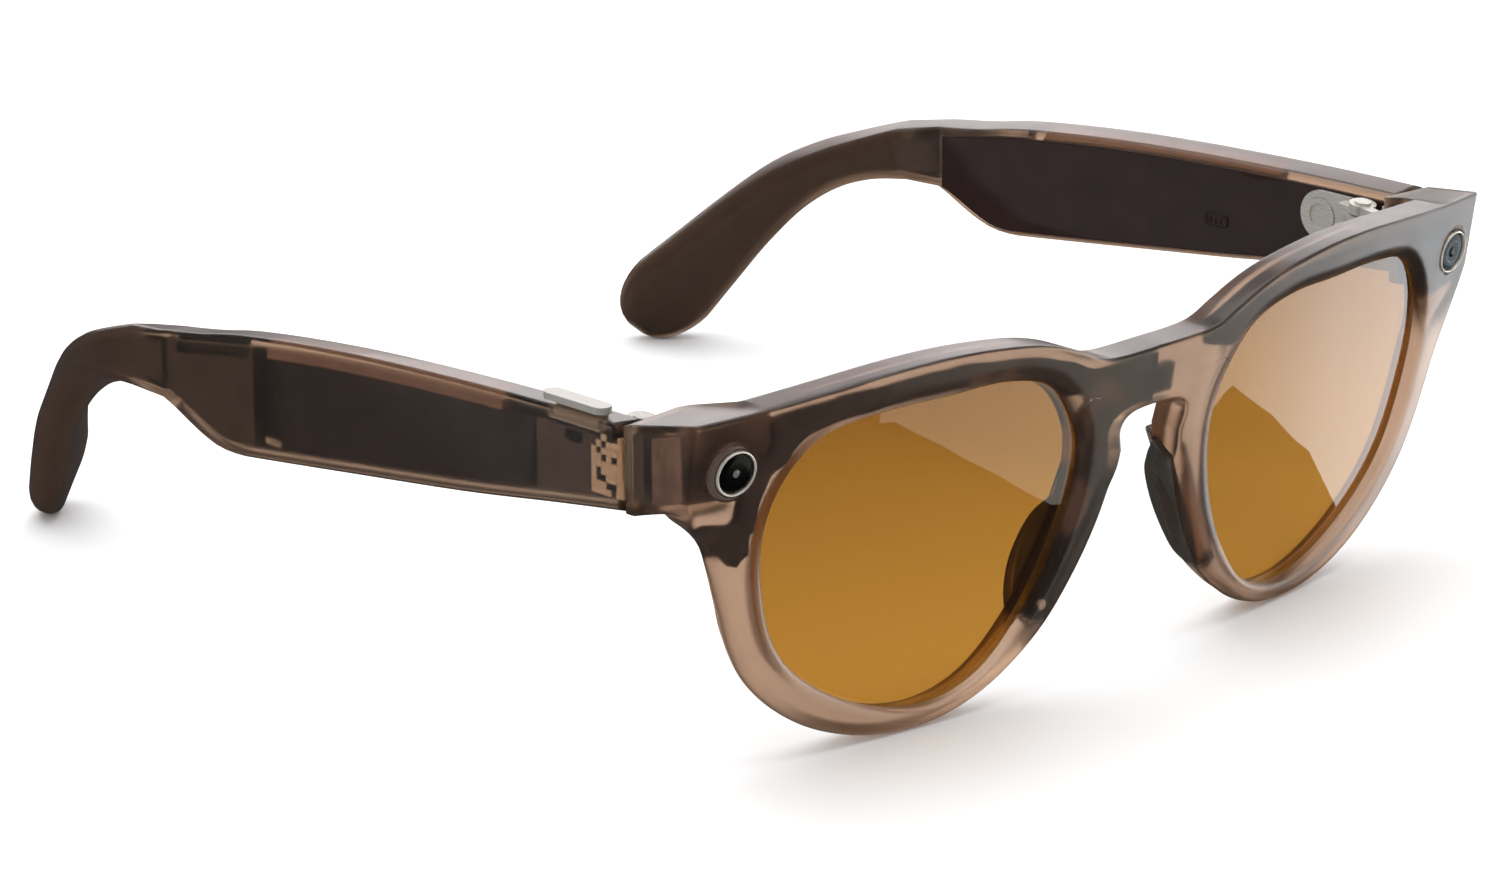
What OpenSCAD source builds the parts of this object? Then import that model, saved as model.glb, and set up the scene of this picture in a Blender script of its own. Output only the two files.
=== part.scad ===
// Camera and audio smart glasses, open and standing on the rims and the temple tips.
// Millimetres. +Z is up, -Y is the way the wearer looks, +X is the wearer's left.
// Depths (y) are worked out from the plane of the two round windows, and every
// piece is then moved back by mid_y, so the origin is the middle of the footprint.

/* [Front] */
// Distance between the two lens centres
lens_pitch = 71.6; // [69:0.2:75]
// Height of the brow line above the floor
brow_z = 48.7; // [48.2:0.1:50]
// Thickness of the front, front face to back face
front_t = 5.3; // [5:0.1:6]
// Radius of the wrap of the front, seen from above
wrap_r = 265; // [220:5:320]
// Lean of the front: its top is further forward than its bottom
lean = 8.75; // [7:0.25:10]
// Thickness of each lens
lens_t = 2.0; // [1.8:0.1:2.2]
// Outer diameter of the metal ring round each window
ring_d = 5.7; // [5:0.1:6]

/* [Temples] */
// Thickness of a temple, inner face to outer face
temple_t = 5.0; // [4.8:0.1:5.4]
// Thickness of the inner cover of a temple
cover_t = 0.9; // [0.8:0.1:1]
// Thickness of the outer wall of a temple
wall_t = 1.2; // [1:0.1:1.3]

/* [Hinges] */
// Radius of a hinge knuckle
knuckle_r = 1.8; // [1.6:0.1:1.9]
// Radius of the hinge pin
pin_r = 0.6; // [0.5:0.05:0.7]
// Length of one knuckle along the pin
knuckle_l = 1.3; // [1.2:0.05:1.4]
// Gap between neighbouring knuckles
knuckle_gap = 0.2; // [0.15:0.05:0.25]

/* [Controls] */
// Length of the capture button
button_l = 10.6; // [9:0.2:11]
// Length of the power slider's thumb piece
slider_l = 4.0; // [3.5:0.5:4.5]
// Travel of the power slider
slider_travel = 1.5; // [1:0.1:1.6]

/* [Hidden] */

$fn = 48;
fit_gap = 0.05;                    // gap between pieces that are fixed together
move_gap = 0.3;                    // gap between pieces that move past each other
wrap_fn = 400;                     // facets of the large wrap cylinders
mid_y = 68.4;                      // from the window plane back to the middle of the footprint
lens_x = lens_pitch / 2;
grow_x = lens_x - 35.8;            // how far a wider pitch moves each half outwards
temple_out = 72.5 + grow_x;        // outer face of a temple
temple_in = temple_out - temple_t; // inner face of a temple
seam_y = 11.5;                     // where the front ends and a temple begins
hinge_x = 65 + grow_x;
hinge_y = 16.5;
hinge_z = 39.6;
window_x = 64.7 + grow_x;
window_z = 39.8;
surface_y = -7.1;                  // front face of the bridge at the height of ref_z
ref_z = 40;
brow_rise = brow_z - 48.7;
window_turn = 10;                  // how far each window looks outwards
window_y = surface_y + window_x * window_x / (2 * wrap_r) - (window_z - ref_z) * tan(lean);
ring_rise = 0.5;                   // how far a ring stands out of the front
ring_seat = 2.5;                   // how far a ring is sunk into the front
groove = 0.8;                      // how far a lens reaches into its rim
lens_back = 1.5;                   // from the front face back to the lens
knuckle_pitch = knuckle_l + knuckle_gap;
knuckles = 5;
top_bar_t = 1.2;

smoke = [0.36, 0.29, 0.26, 0.75];
amber = [0.60, 0.42, 0.15, 0.75];
olive = [0.25, 0.23, 0.20];
silver = [0.72, 0.72, 0.72];
black_glass = [0.03, 0.03, 0.04];
charcoal = [0.10, 0.09, 0.09];
dark_brown = [0.17, 0.13, 0.12];
board_green = [0.09, 0.13, 0.12];
tan_plastic = [0.62, 0.47, 0.38];
copper = [0.72, 0.55, 0.36];
gold = [0.83, 0.66, 0.33];

// ---------------------------------------------------------------- curves

// One coordinate or point on a smooth run, between b (t = 0) and c (t = 1).
function smooth(a, b, c, d, t) =
    0.5 * (2 * b + (c - a) * t + (2 * a - 5 * b + 4 * c - d) * t * t + (3 * b - a - 3 * c + d) * t * t * t);

// A smooth closed curve through the points p, with n steps between neighbours.
function loop_curve(p, n = 4) = let (m = len(p))
    [for (i = [0:m - 1], k = [0:n - 1]) smooth(p[(i + m - 1) % m], p[i], p[(i + 1) % m], p[(i + 2) % m], k / n)];

// A smooth open curve through the points p, ends included.
function open_curve(p, n = 4) = let (m = len(p))
    [for (i = [0:m - 2], k = [0:n - (i == m - 2 ? 0 : 1)])
        smooth(p[max(i - 1, 0)], p[i], p[i + 1], p[min(i + 2, m - 1)], k / n)];

// A run of points moved sideways by g, to the right of its direction of travel.
function shifted(p, g) = let (m = len(p))
    [for (i = [0:m - 1]) let (d = p[min(i + 1, m - 1)] - p[max(i - 1, 0)]) p[i] + g * [d[1], -d[0]] / norm(d)];

// A closed anticlockwise loop grown outwards by g.
function grown(p, g) = let (m = len(p))
    [for (i = [0:m - 1]) let (d = p[(i + 1) % m] - p[(i + m - 1) % m]) p[i] + g * [d[1], -d[0]] / norm(d)];

function reversed(p) = [for (i = [len(p) - 1:-1:0]) p[i]];
function mirrored(p) = [for (q = p) [-q[0], q[1]]];
function between(p, low, high) = [for (q = p) if (q[0] > low && q[0] < high) q];

// ---------------------------------------------------------------- outlines seen from the front (x, z)

// Visible edge of the lens on the +X side, anticlockwise, from its outer side.
lens_edge = loop_curve([for (q = [[59.2, 30], [57.4, 36.8], [52.4, 41.8], [44.5, 43.3], [35, 43.5], [25.6, 43.5],
        [17.9, 41.1], [13.2, 35], [12.1, 28.5], [13.9, 20.2], [17.6, 12.4], [23.6, 5.4], [31.5, 2.8],
        [40.5, 4.4], [49.3, 8.9], [55.2, 14.6], [58.1, 21.8]]) [q[0] + grow_x, q[1]]]);

// Brow line from the middle of the bridge out to the corner.
brow_line = open_curve([for (q = [[0, 43], [7, 43], [10.5, 43.5], [14, 45], [18.5, 46.7], [24, 47.9], [33, 48.7],
        [42, 48.6], [52, 47.8], [62, 46.9], [70.6, 46.4]])
        [q[0] + grow_x * min(1, q[0] / 14), q[1] + brow_rise * min(1, q[0] / 14)]]);

// Outer edge of the rim, from under the endpiece round the bottom and up to the nose.
rim_line = open_curve([for (q = [[70.4, 36.5], [69.2, 33.8], [68, 31.4], [65.8, 26.4], [64.1, 21.6], [62.2, 16.5],
        [59.3, 11.6], [54.8, 7.1], [48.9, 3.3], [42, 0.8], [35, 0], [28.2, 0.7], [21.4, 3.5], [15, 8.6],
        [10.6, 14.8], [7.5, 21.2], [5.8, 27], [5.3, 30.4]]) [q[0] + grow_x, q[1]]]);

// Keyhole of the bridge, from the nose bump up to the middle.
keyhole_line = open_curve([for (q = [[5.3, 30.4], [5.9, 32.4], [6.3, 34], [4.9, 34.9], [0, 35.3]])
        [q[0] + grow_x * min(1, q[0] / 5), q[1]]]);

half_outline = concat(brow_line, rim_line, keyhole_line);
front_outline = concat(half_outline, reversed(mirrored(half_outline)));

// Wiring channel in the brow: a band below the brow line.
channel_top = 1.6;                 // plastic left above the channel
channel_low = 3.5;                 // from the brow line down to the channel's floor
channel_end = 61 + grow_x;
function brow_band(top, low, end) =
    let (upper = between(shifted(brow_line, top), 0.5, end), lower = between(shifted(brow_line, low), 0.5, end))
    concat(reversed(mirrored(upper)), upper, reversed(lower), mirrored(lower));

// ---------------------------------------------------------------- outlines seen from the side (y, z)

temple_top = open_curve([[seam_y, 44.8], [28, 44.6], [48, 43.8], [64, 42.7], [80, 40.9], [97, 38.1]]);
temple_low = open_curve([[97, 29.6], [94, 28.8], [91, 27.6], [88, 26.3], [85, 25.3], [82, 25.1], [78, 25.5],
    [60, 27.7], [40, 30.2], [24, 32.6], [seam_y, 34.4]]);
temple_outline = concat(reversed(temple_top), reversed(temple_low));

// Side outline of a temple between two depths, drawn in by g from its edges.
module temple_side(g, y_low, y_high) {
    intersection() {
        polygon(grown(temple_outline, -g));
        translate([y_low, 0])
            square([y_high - y_low, 60]);
    }
}

// ---------------------------------------------------------------- placing

module placed() {
    translate([0, -mid_y, 0])
        children();
}

// side = 1 is the wearer's left (+X), side = -1 the wearer's right.
module on_side(side) {
    if (side > 0)
        placed() children();
    else
        placed() mirror([1, 0, 0]) children();
}

// A front view outline made solid along y, from y_low to y_high.
module from_front(y_low, y_high) {
    translate([0, y_high, 0])
        rotate([90, 0, 0])
            linear_extrude(y_high - y_low)
                children();
}

// A side view outline (y, z) made solid along x, from x_low to x_high.
module from_side(x_low, x_high) {
    translate([x_low, 0, 0])
        rotate([90, 0, 90])
            linear_extrude(x_high - x_low)
                children();
}

// Everything behind the front's wrapped surface moved back by depth.
module behind_surface(depth) {
    translate([0, surface_y + depth, ref_z])
        rotate([lean, 0, 0])
            translate([0, wrap_r, 0])
                cylinder(r = wrap_r, h = 160, center = true, $fn = wrap_fn);
}

// The curved layer of the front from one depth to another.
module wrapped(near, far) {
    intersection() {
        children();
        difference() {
            behind_surface(near);
            behind_surface(far);
        }
    }
}

// Hinge frame: the pin runs along z, leaning with the front.
module at_hinge() {
    translate([hinge_x, hinge_y, hinge_z])
        rotate([lean, 0, 0])
            children();
}

// Window frame: z looks out of the window, starting depth behind the face.
module at_window(depth) {
    translate([window_x, window_y, window_z])
        rotate([lean, 0, 0])
            rotate([0, 0, window_turn])
                translate([0, depth, 0])
                    rotate([90, 0, 0])
                        children();
}

// ---------------------------------------------------------------- front

endpiece_in = 61.8 + grow_x;
pocket_in = 63.4 + grow_x;
pocket_out = 70.4 + grow_x;
pocket_front = 3.2;
pocket_low = 35.5;
pocket_high = 44.0;
leaf_plate_t = 1.0;

module endpiece() {
    intersection() {
        translate([0, 0, 30])
            linear_extrude(20)
                polygon([[endpiece_in, 1.5], [70.5 + grow_x, 1.2], [71.6 + grow_x, 4.5], [temple_out, seam_y],
                    [endpiece_in + 1.4, seam_y], [endpiece_in, 6]]);
        from_side(60, 80)
            polygon([[0, 36.2], [3, 34.7], [seam_y, 34], [seam_y, 45.1], [6, 46.2 + brow_rise],
                [0, 46.8 + brow_rise]]);
    }
}

module endpiece_pocket() {
    translate([pocket_in, pocket_front, pocket_low])
        cube([pocket_out - pocket_in, seam_y - pocket_front + 1, pocket_high - pocket_low]);
}

// The flange behind the rim that carries a nose pad, and the pad on it: a leaning, splayed
// plate between inboard and outboard, cut to a rounded side outline from low to high.
wing_turn = 24;                    // slope of the nose line, from upright
wing_splay = 2.9;                  // how far the flange opens from its front to its rear edge
wing_front = -4.5;
wing_back = 4.8;
wing_z = 20.5;
wing_x = 7.9 + grow_x;
wing_setback = 1.2;                // from the front face back to the flange
pad_low = 10.5;
pad_high = 28.5;
pad_half_t = 0.8;
module nose_wing_section(inboard, outboard, low, high, setback, back = 0) {
    wrapped(setback, wing_back - surface_y + 4)
        intersection() {
            translate([wing_x, 0, wing_z])
                rotate([0, -wing_turn, 0])
                    linear_extrude(34, center = true)
                        polygon([[inboard, wing_front], [outboard, wing_front],
                            [outboard + wing_splay - 0.3, wing_back + 0.5], [inboard + wing_splay, wing_back + 0.5]]);
            from_side(0, 30)
                polygon(loop_curve([[-6.5, low], [-6.5, high], [back - 1.2, high - 0.5], [back + 1.4, high - 3],
                    [back + 3.8, wing_z + 1.5], [back + 4.7, wing_z - 4], [back + 3.4, low + 0.8],
                    [back - 1.5, low - 0.5]]));
        }
}

module half_front_solid() {
    wrapped(0, front_t)
        from_front(-20, 30)
            polygon(half_outline);
    endpiece();
    nose_wing_section(-0.2, 2.8, pad_low - 1, pad_high + 1, wing_setback + 1);
}

module half_front_cuts() {
    from_front(-20, 30)
        polygon(lens_edge);
    wrapped(lens_back - fit_gap, lens_back + lens_t + fit_gap)
        from_front(-20, 30)
            polygon(grown(lens_edge, groove + fit_gap));
    wrapped(2.2, 3.9)
        from_front(-20, 30)
            translate([channel_end - 3, 42.6])
                square([pocket_in - channel_end + 5, 1.3]);
    endpiece_pocket();
    nose_wing_section(-8, pad_half_t + fit_gap, pad_low - fit_gap, pad_high + fit_gap, wing_setback, 2);
    at_window(5)
        cylinder(r = ring_d / 2 + fit_gap, h = 10);
}

contact_z = 38.2;
contact_half_w = 4.2;
contact_half_h = 1.8;
contact_rise = 0.2;                // how far the contact face stands out of the bridge
contact_r = 0.75;
contact_pitch = 4;

// Frame on the back of the bridge: y points out of the contact face.
module at_contacts() {
    translate([0, surface_y + front_t - (contact_z - ref_z) * tan(lean), contact_z])
        rotate([lean, 0, 0])
            children();
}

module contact_block(g, low, high) {
    translate([-contact_half_w - g, low, -contact_half_h - g])
        cube([2 * (contact_half_w + g), high - low, 2 * (contact_half_h + g)]);
}

module front_frame() {
    color(smoke)
        placed()
            difference() {
                union() {
                    half_front_solid();
                    mirror([1, 0, 0])
                        half_front_solid();
                }
                half_front_cuts();
                mirror([1, 0, 0])
                    half_front_cuts();
                wrapped(2.2, front_t + 1)
                    from_front(-20, 30)
                        polygon(brow_band(channel_top, channel_low, channel_end));
                at_contacts()
                    contact_block(fit_gap, -1.9, 2);
                wrapped(2.2, front_t - 1.5)
                    from_front(-20, 30)
                        polygon(nose_channel);
            }
}

// Channel for the nose microphone, down the wearer's right side of the bridge.
nose_channel = [[-7.4, 41.2], [-9.6, 41.2], [-9.9, 34], [-9.8, 28], [-11.8, 22], [-14.1, 17.2], [-12.6, 16.2],
    [-10.2, 21.4], [-8.1, 27.6], [-7.9, 34]];

module brow_cover() {
    color(smoke)
        placed()
            difference() {
                wrapped(front_t - 1.3, front_t)
                    from_front(-20, 30)
                        polygon(brow_band(channel_top + fit_gap, channel_low - fit_gap, channel_end - fit_gap));
                at_contacts()
                    contact_block(fit_gap, -3, 2);
            }
}

module front_flex() {
    color(charcoal)
        placed()
            wrapped(2.3, 3.3)
                from_front(-20, 30) {
                    polygon(brow_band(channel_top + 0.15, channel_low - 0.15, channel_end - 0.2));
                    polygon(grown(nose_channel, -0.12));
                }
}

module lens(side) {
    color(amber)
        on_side(side)
            wrapped(lens_back, lens_back + lens_t)
                from_front(-20, 30)
                    polygon(grown(lens_edge, groove));
}

module nose_pad(side) {
    color(olive)
        on_side(side)
            nose_wing_section(-pad_half_t, pad_half_t, pad_low, pad_high, wing_setback + fit_gap);
}

module window_ring(side) {
    color(silver)
        on_side(side)
            at_window(ring_seat)
                difference() {
                    cylinder(r = ring_d / 2, h = ring_seat + ring_rise);
                    translate([0, 0, -1])
                        cylinder(r = ring_d / 2 - 0.8, h = 6);
                    translate([0, 0, 1.2])
                        cylinder(r = ring_d / 2 - 0.35, h = 6);
                }
}

module window_glass(side, tint) {
    color(tint)
        on_side(side)
            at_window(ring_seat)
                translate([0, 0, 1.25])
                    cylinder(r = ring_d / 2 - 0.4, h = 1.5);
}

module camera_module() {
    color(charcoal)
        on_side(1) {
            at_window(4.2)
                difference() {
                    cylinder(r = 2.0, h = 2.8);
                    translate([0, 0, 1.6])
                        cylinder(r = 1.1, h = 2);
                }
            translate([pocket_in + 0.3, 4.6, window_z - 2.9])
                cube([4.9, 3.4, 5.8]);
        }
}

// A circuit board standing in the endpiece behind its window.
module corner_board(side) {
    color(board_green)
        on_side(side)
            translate([pocket_in + 0.3, 8.2, pocket_low + 0.4])
                cube([pocket_out - pocket_in - 0.6, 0.8, pocket_high - pocket_low - 0.8]);
}

module indicator_light() {
    color([0.62, 0.63, 0.64])
        on_side(-1) {
            at_window(4.2)
                cylinder(r = 1.4, h = 2.8);
            translate([pocket_in + 0.3, 4.6, window_z - 1.8])
                cube([3.6, 3.4, 3.6]);
        }
}

module nose_microphone() {
    color([0.70, 0.66, 0.60])
        placed()
            wrapped(3.35, front_t - 1.55)
                from_front(-20, 30)
                    translate([-12.75, 17.9])
                        square([1, 1.4], center = true);
}

module charging_contact_carrier() {
    color(charcoal)
        placed()
            difference() {
                at_contacts()
                    contact_block(0, -1.85, contact_rise);
                charging_pin_pair(contact_r + fit_gap, 4);
            }
}

module charging_pin_pair(r, length) {
    at_contacts()
        for (x = [-1, 1])
            translate([x * contact_pitch / 2, -1, 0])
                rotate([-90, 0, 0])
                    cylinder(r = r, h = length);
}

module charging_contacts() {
    color(gold)
        placed()
            charging_pin_pair(contact_r, 1 + contact_rise - 0.1);
}

// ---------------------------------------------------------------- hinges

// Knuckle number i, counted up the pin.
module knuckle(i) {
    translate([0, 0, (i - (knuckles - 1) / 2) * knuckle_pitch])
        difference() {
            children();
            cylinder(r = pin_r + fit_gap, h = knuckle_l + 2, center = true);
        }
}

module hinge_front_leaf(side) {
    reach = hinge_y - seam_y;
    color(silver)
        on_side(side) {
            at_hinge()
                for (i = [0:2:knuckles - 1], low = -knuckle_l / 2 + (i == 0 ? 0.6 : 0))
                    knuckle(i)
                        union() {
                            cylinder(r = knuckle_r, h = knuckle_l, center = true);
                            translate([-1.5, -reach - 0.9, low])
                                cube([1.4, reach + 0.9, knuckle_l / 2 - low]);
                        }
            translate([pocket_in + fit_gap, seam_y - leaf_plate_t, pocket_low + fit_gap])
                cube([pocket_out - pocket_in - 2 * fit_gap, leaf_plate_t - 0.1, pocket_high - pocket_low - 2 * fit_gap]);
        }
}

module hinge_pin(side) {
    length = knuckles * knuckle_pitch - knuckle_gap;
    color(silver)
        on_side(side)
            at_hinge() {
                cylinder(r = pin_r, h = length, center = true);
                translate([0, 0, length / 2])
                    cylinder(r = pin_r + 0.5, h = 0.3);
            }
}

disc_y = 24.7;
disc_z = 39.4;
disc_r = 2.4;
disc_stem_r = 0.9;
leaf_t = 0.6;
leaf_y_low = 19.6;
leaf_r = 3.4;                      // rounded end of the leaf, round the disc

module hinge_rear_leaf(side) {
    color(silver)
        on_side(side) {
            at_hinge()
                for (i = [1:2:knuckles - 1])
                    knuckle(i)
                        union() {
                            cylinder(r = knuckle_r, h = knuckle_l, center = true);
                            translate([0.2, 0, -knuckle_l / 2])
                                cube([temple_in - hinge_x - 0.2 - fit_gap, leaf_y_low - hinge_y + 1.1, knuckle_l]);
                        }
            difference() {
                union() {
                    at_disc(-fit_gap - leaf_t)
                        cylinder(r = leaf_r, h = leaf_t);
                    translate([temple_in - fit_gap - leaf_t, leaf_y_low, disc_z - leaf_r])
                        cube([leaf_t, disc_y - leaf_y_low, 2 * leaf_r]);
                }
                at_disc(-3)
                    cylinder(r = disc_r + fit_gap, h = 6);
            }
        }
}

// Frame on the inner face of a temple, looking outwards along the disc's stem.
module at_disc(depth) {
    translate([temple_in + depth, disc_y, disc_z])
        rotate([0, 90, 0])
            children();
}

// Post on the outer wall that the disc's stem bites into.
module disc_post() {
    at_disc(cover_t + fit_gap)
        difference() {
            cylinder(r = disc_stem_r + 0.7, h = temple_t - cover_t - wall_t);
            translate([0, 0, -1])
                cylinder(r = disc_stem_r + fit_gap, h = 3);
        }
}

module hinge_disc(side) {
    head = leaf_t + 0.2;
    color(silver)
        on_side(side)
            difference() {
                union() {
                    at_disc(-fit_gap - head)
                        cylinder(r = disc_r, h = head);
                    at_disc(-fit_gap - 0.1)
                        cylinder(r = disc_stem_r, h = cover_t + 2);
                }
                at_disc(-fit_gap - head - 0.01)
                    cylinder(r = disc_r - 0.7, h = 0.2);
            }
}

// ---------------------------------------------------------------- temple tips

// Stations along a tip: x, y, z, half height, half thickness, twist in degrees,
// and how round the section is (0 a rectangle, 1 an ellipse).
tip_stations = [
    [70, 96.5, 33.8, 4.4, 2.5, 0, 0.25],
    [69.4, 103, 33, 3.9, 2.5, 10, 0.5],
    [68.2, 110, 31.2, 3.3, 2.6, 22, 0.62],
    [66.6, 116.3, 28.8, 3.3, 2.7, 32, 0.62],
    [64.7, 122.8, 24.8, 3.9, 2.8, 41, 0.62],
    [62.4, 129, 19, 4.8, 2.7, 47, 0.62],
    [58.6, 135.1, 11.8, 6, 2.5, 49, 0.62],
    [55.8, 139.4, 5.9, 7.2, 2.4, 50, 0.62],
    [54.9, 140.6, 3.7, 6.3, 2.2, 50, 0.7],
    [54.4, 141.2, 2.4, 4.2, 1.6, 50, 0.8]];
section_steps = 20;
tip_steps = 2;

function signed_power(v, p) = sign(v) * pow(abs(v), p);
function unit(v) = v / norm(v);

// One ring of points round the tip at station s, heading along d, drawn in by g.
function tip_ring(s, d, g) =
    let (across = unit(cross(unit(d), [1, 0, 0])),
        out = cross(across, unit(d)),
        down = across * cos(s[5]) + out * sin(s[5]),
        side = out * cos(s[5]) - across * sin(s[5]))
    [for (k = [0:section_steps - 1]) let (a = 360 * k / section_steps)
        [s[0] + grow_x, s[1], s[2]]
            + down * (s[3] - g) * signed_power(sin(a), s[6])
            + side * (s[4] - g) * signed_power(cos(a), s[6])];

module tip_loft(g, first, last) {
    runs = open_curve([for (i = [first:last]) tip_stations[i]], tip_steps);
    m = len(runs);
    rings = [for (i = [0:m - 1]) let (a = runs[max(i - 1, 0)], b = runs[min(i + 1, m - 1)])
        tip_ring(runs[i], [b[0] - a[0], b[1] - a[1], b[2] - a[2]], g)];
    n = section_steps;
    polyhedron(
        points = [for (r = rings, q = r) q],
        faces = concat(
            [[for (k = [0:n - 1]) k]],
            [[for (k = [n - 1:-1:0]) (m - 1) * n + k]],
            [for (i = [0:m - 2], k = [0:n - 1])
                [i * n + k, (i + 1) * n + k, (i + 1) * n + (k + 1) % n]],
            [for (i = [0:m - 2], k = [0:n - 1])
                [i * n + k, (i + 1) * n + (k + 1) % n, i * n + (k + 1) % n]]));
}

tip_end = len(tip_stations) - 1;
core_wall = 0.9;

// ---------------------------------------------------------------- temples

cavity_front = 13.2;
cavity_back = 95.5;
edge_wall = 1.3;
button_y = 20.3;
button_x = temple_out - 1.3;       // middle of the bar on top of the temple
button_w = 2.4;
button_top = 46;
button_bar_low = 45.15;
button_low = 42.9;
stem_x = temple_out - 2.1;         // middle of the stem under the bar
stem_l = 8.4;
stem_w = 1.2;
slot_low_y = 79.5;
slot_high_y = 93;
slot_w = 1.3;
slot_x = temple_out - 2.2;

// The space in a temple, from its inner cover out to its outer wall.
module temple_cavity(x_low, x_high, g, y_low, y_high) {
    from_side(x_low, x_high)
        temple_side(edge_wall + g, y_low, y_high);
}

// A bar with round ends under the button's finger face, from one height to another.
module button_block(x, length, width, low, high) {
    translate([x, button_y, low])
        linear_extrude(high - low)
            union() {
                square([width, length - width], center = true);
                for (y = [-1, 1])
                    translate([0, y * (length - width) / 2])
                        circle(r = width / 2);
            }
}

// Sloping slot through the top wall for the speaker.
module speaker_slot(g, low, high) {
    intersection() {
        translate([slot_x - slot_w / 2 - g, slot_low_y - g, 30])
            cube([slot_w + 2 * g, slot_high_y - slot_low_y + 2 * g, 20]);
        from_side(temple_in - 1, temple_out + 1)
            polygon(concat(shifted(temple_top, low), reversed(shifted(temple_top, high))));
    }
}

module temple_shell(side) {
    color(smoke)
        on_side(side) {
            disc_post();
            difference() {
                union() {
                    from_side(temple_in, temple_out)
                        temple_side(0, seam_y + 0.2, 97);
                    tip_loft(0, 0, tip_end);
                }
                temple_cavity(temple_in - 1, temple_out - wall_t, 0, cavity_front, cavity_back);
                tip_loft(core_wall, 1, tip_end - 2);
                speaker_slot(0, -1, 3);
                if (side < 0)
                    button_block(stem_x, stem_l + 2 * move_gap, stem_w + 2 * move_gap, button_low - 0.5, 50);
            }
        }
}

module temple_cover(side) {
    color(dark_brown)
        on_side(side)
            difference() {
                temple_cavity(temple_in, temple_in + cover_t, fit_gap, cavity_front + fit_gap, cavity_back - fit_gap);
                at_disc(-1)
                    cylinder(r = disc_stem_r + 0.1, h = 4);
                if (side > 0) {
                    slider_window(move_gap);
                    status_hole(0.6);
                }
            }
}

module tip_core(side) {
    color(charcoal)
        on_side(side)
            tip_loft(core_wall + fit_gap, 1, tip_end - 2);
}

inner_x = temple_in + cover_t + 0.1;
outer_x = temple_out - wall_t - 0.1;

module speaker(side) {
    color(charcoal)
        on_side(side)
            difference() {
                from_side(inner_x, outer_x)
                    temple_side(edge_wall + 0.15, 78.5, 95);
                speaker_slot(0.3, 0, edge_wall + 1.6);
            }
}

module speaker_grille(side) {
    color([0.02, 0.02, 0.02])
        on_side(side)
            speaker_slot(-0.03, 0.5, 1.2);
}

module temple_microphone(side) {
    color(tan_plastic)
        on_side(side)
            translate([inner_x + 0.1, 72.5, 27.65])
                cube([2.2, 4.2, 0.85]);
}

rib_l = 1.6;

// Bracket under the top wall, with three short ribs hanging from it.
module top_bracket(side) {
    color(tan_plastic)
        on_side(side) {
            from_side(inner_x, outer_x)
                polygon(concat(
                    reversed(between(shifted(temple_top, edge_wall + 0.1), 31, 77.5)),
                    between(shifted(temple_top, edge_wall + 0.1 + top_bar_t), 31, 77.5)));
            for (y = [63, 67, 71])
                translate([outer_x - 1.3, y, rib_z(y)])
                    cube([0.9, 0.8, rib_l]);
        }
}

// Lower end of a rib at depth y: the ribs follow the falling top line.
function rib_z(y) = 42.6 - (y - 63) * 0.105 - edge_wall - top_bar_t - rib_l;

module main_board() {
    color(board_green)
        on_side(-1)
            from_side(inner_x + 0.1, inner_x + 0.9)
                temple_side(edge_wall + top_bar_t + 1.6, 31.5, 70);
}

module processor_shield() {
    color([0.55, 0.55, 0.57])
        on_side(-1)
            translate([inner_x + 0.95, 38, 32.4])
                cube([0.9, 16, 6.4]);
}

module touch_sensor() {
    color(charcoal)
        on_side(-1)
            from_side(outer_x - 0.3, outer_x)
                temple_side(edge_wall + top_bar_t + 0.3, 31.5, 77);
}

// Patterned antenna behind the seam: short strips on a thin plate.
module antenna() {
    color(copper)
        on_side(-1) {
            translate([outer_x - 0.3, 13.6, 35.8])
                cube([0.3, 6.8, 4.7]);
            for (i = [0:3])
                translate([outer_x - 0.7, 14 + 1.7 * i, 36.1 + 0.3 * (i % 2)])
                    cube([0.5, 0.8, 3.8]);
        }
}

module capture_button() {
    color(silver)
        on_side(-1) {
            button_block(button_x, button_l, button_w, button_bar_low, button_top);
            button_block(stem_x, stem_l, stem_w, button_low, button_bar_low + 0.1);
            button_block(stem_x - 0.1, stem_l + 1.4, stem_w + 0.8, button_low, button_low + 0.35);
        }
}

module capture_switch() {
    color(charcoal)
        on_side(-1) {
            translate([stem_x - 1.2, button_y - 1.5, 40.8])
                cube([2, 3, 1.4]);
            translate([stem_x - 0.2, button_y, 42.1])
                cylinder(r = 0.6, h = 0.4);
        }
}

module battery() {
    color([0.16, 0.15, 0.17])
        on_side(1)
            from_side(inner_x + 0.1, outer_x - 0.1)
                temple_side(edge_wall + top_bar_t + rib_l + 0.3, 47.5, 77.5);
}

module battery_board() {
    color(board_green)
        on_side(1)
            from_side(outer_x - 0.8, outer_x - 0.1)
                temple_side(edge_wall + top_bar_t + 0.4, 33, 46);
}

slider_y = 43.2;
slider_z = 35;

status_y = 37.2;
status_z = 39.8;

// Slot in the left inner cover that the slider's thumb piece moves along.
module slider_window(g) {
    translate([temple_in - 1, slider_y - slider_l / 2 - g, slider_z - 0.9 - g])
        cube([4, slider_l + slider_travel + 2 * g, 1.8 + 2 * g]);
}

module power_slider() {
    color(charcoal)
        on_side(1) {
            translate([temple_in - 0.3, slider_y - slider_l / 2, slider_z - 0.9])
                cube([1.5, slider_l, 1.8]);
            for (i = [-1:1])
                translate([temple_in - 0.5, slider_y + i * 1.1 - 0.2, slider_z - 0.9])
                    cube([0.3, 0.4, 1.8]);
        }
}

module power_switch() {
    color([0.45, 0.45, 0.46])
        on_side(1)
            translate([temple_in + 1.5, slider_y - 2.8, slider_z - 1.6])
                cube([0.5, 6.4, 3.2]);
}

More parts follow.
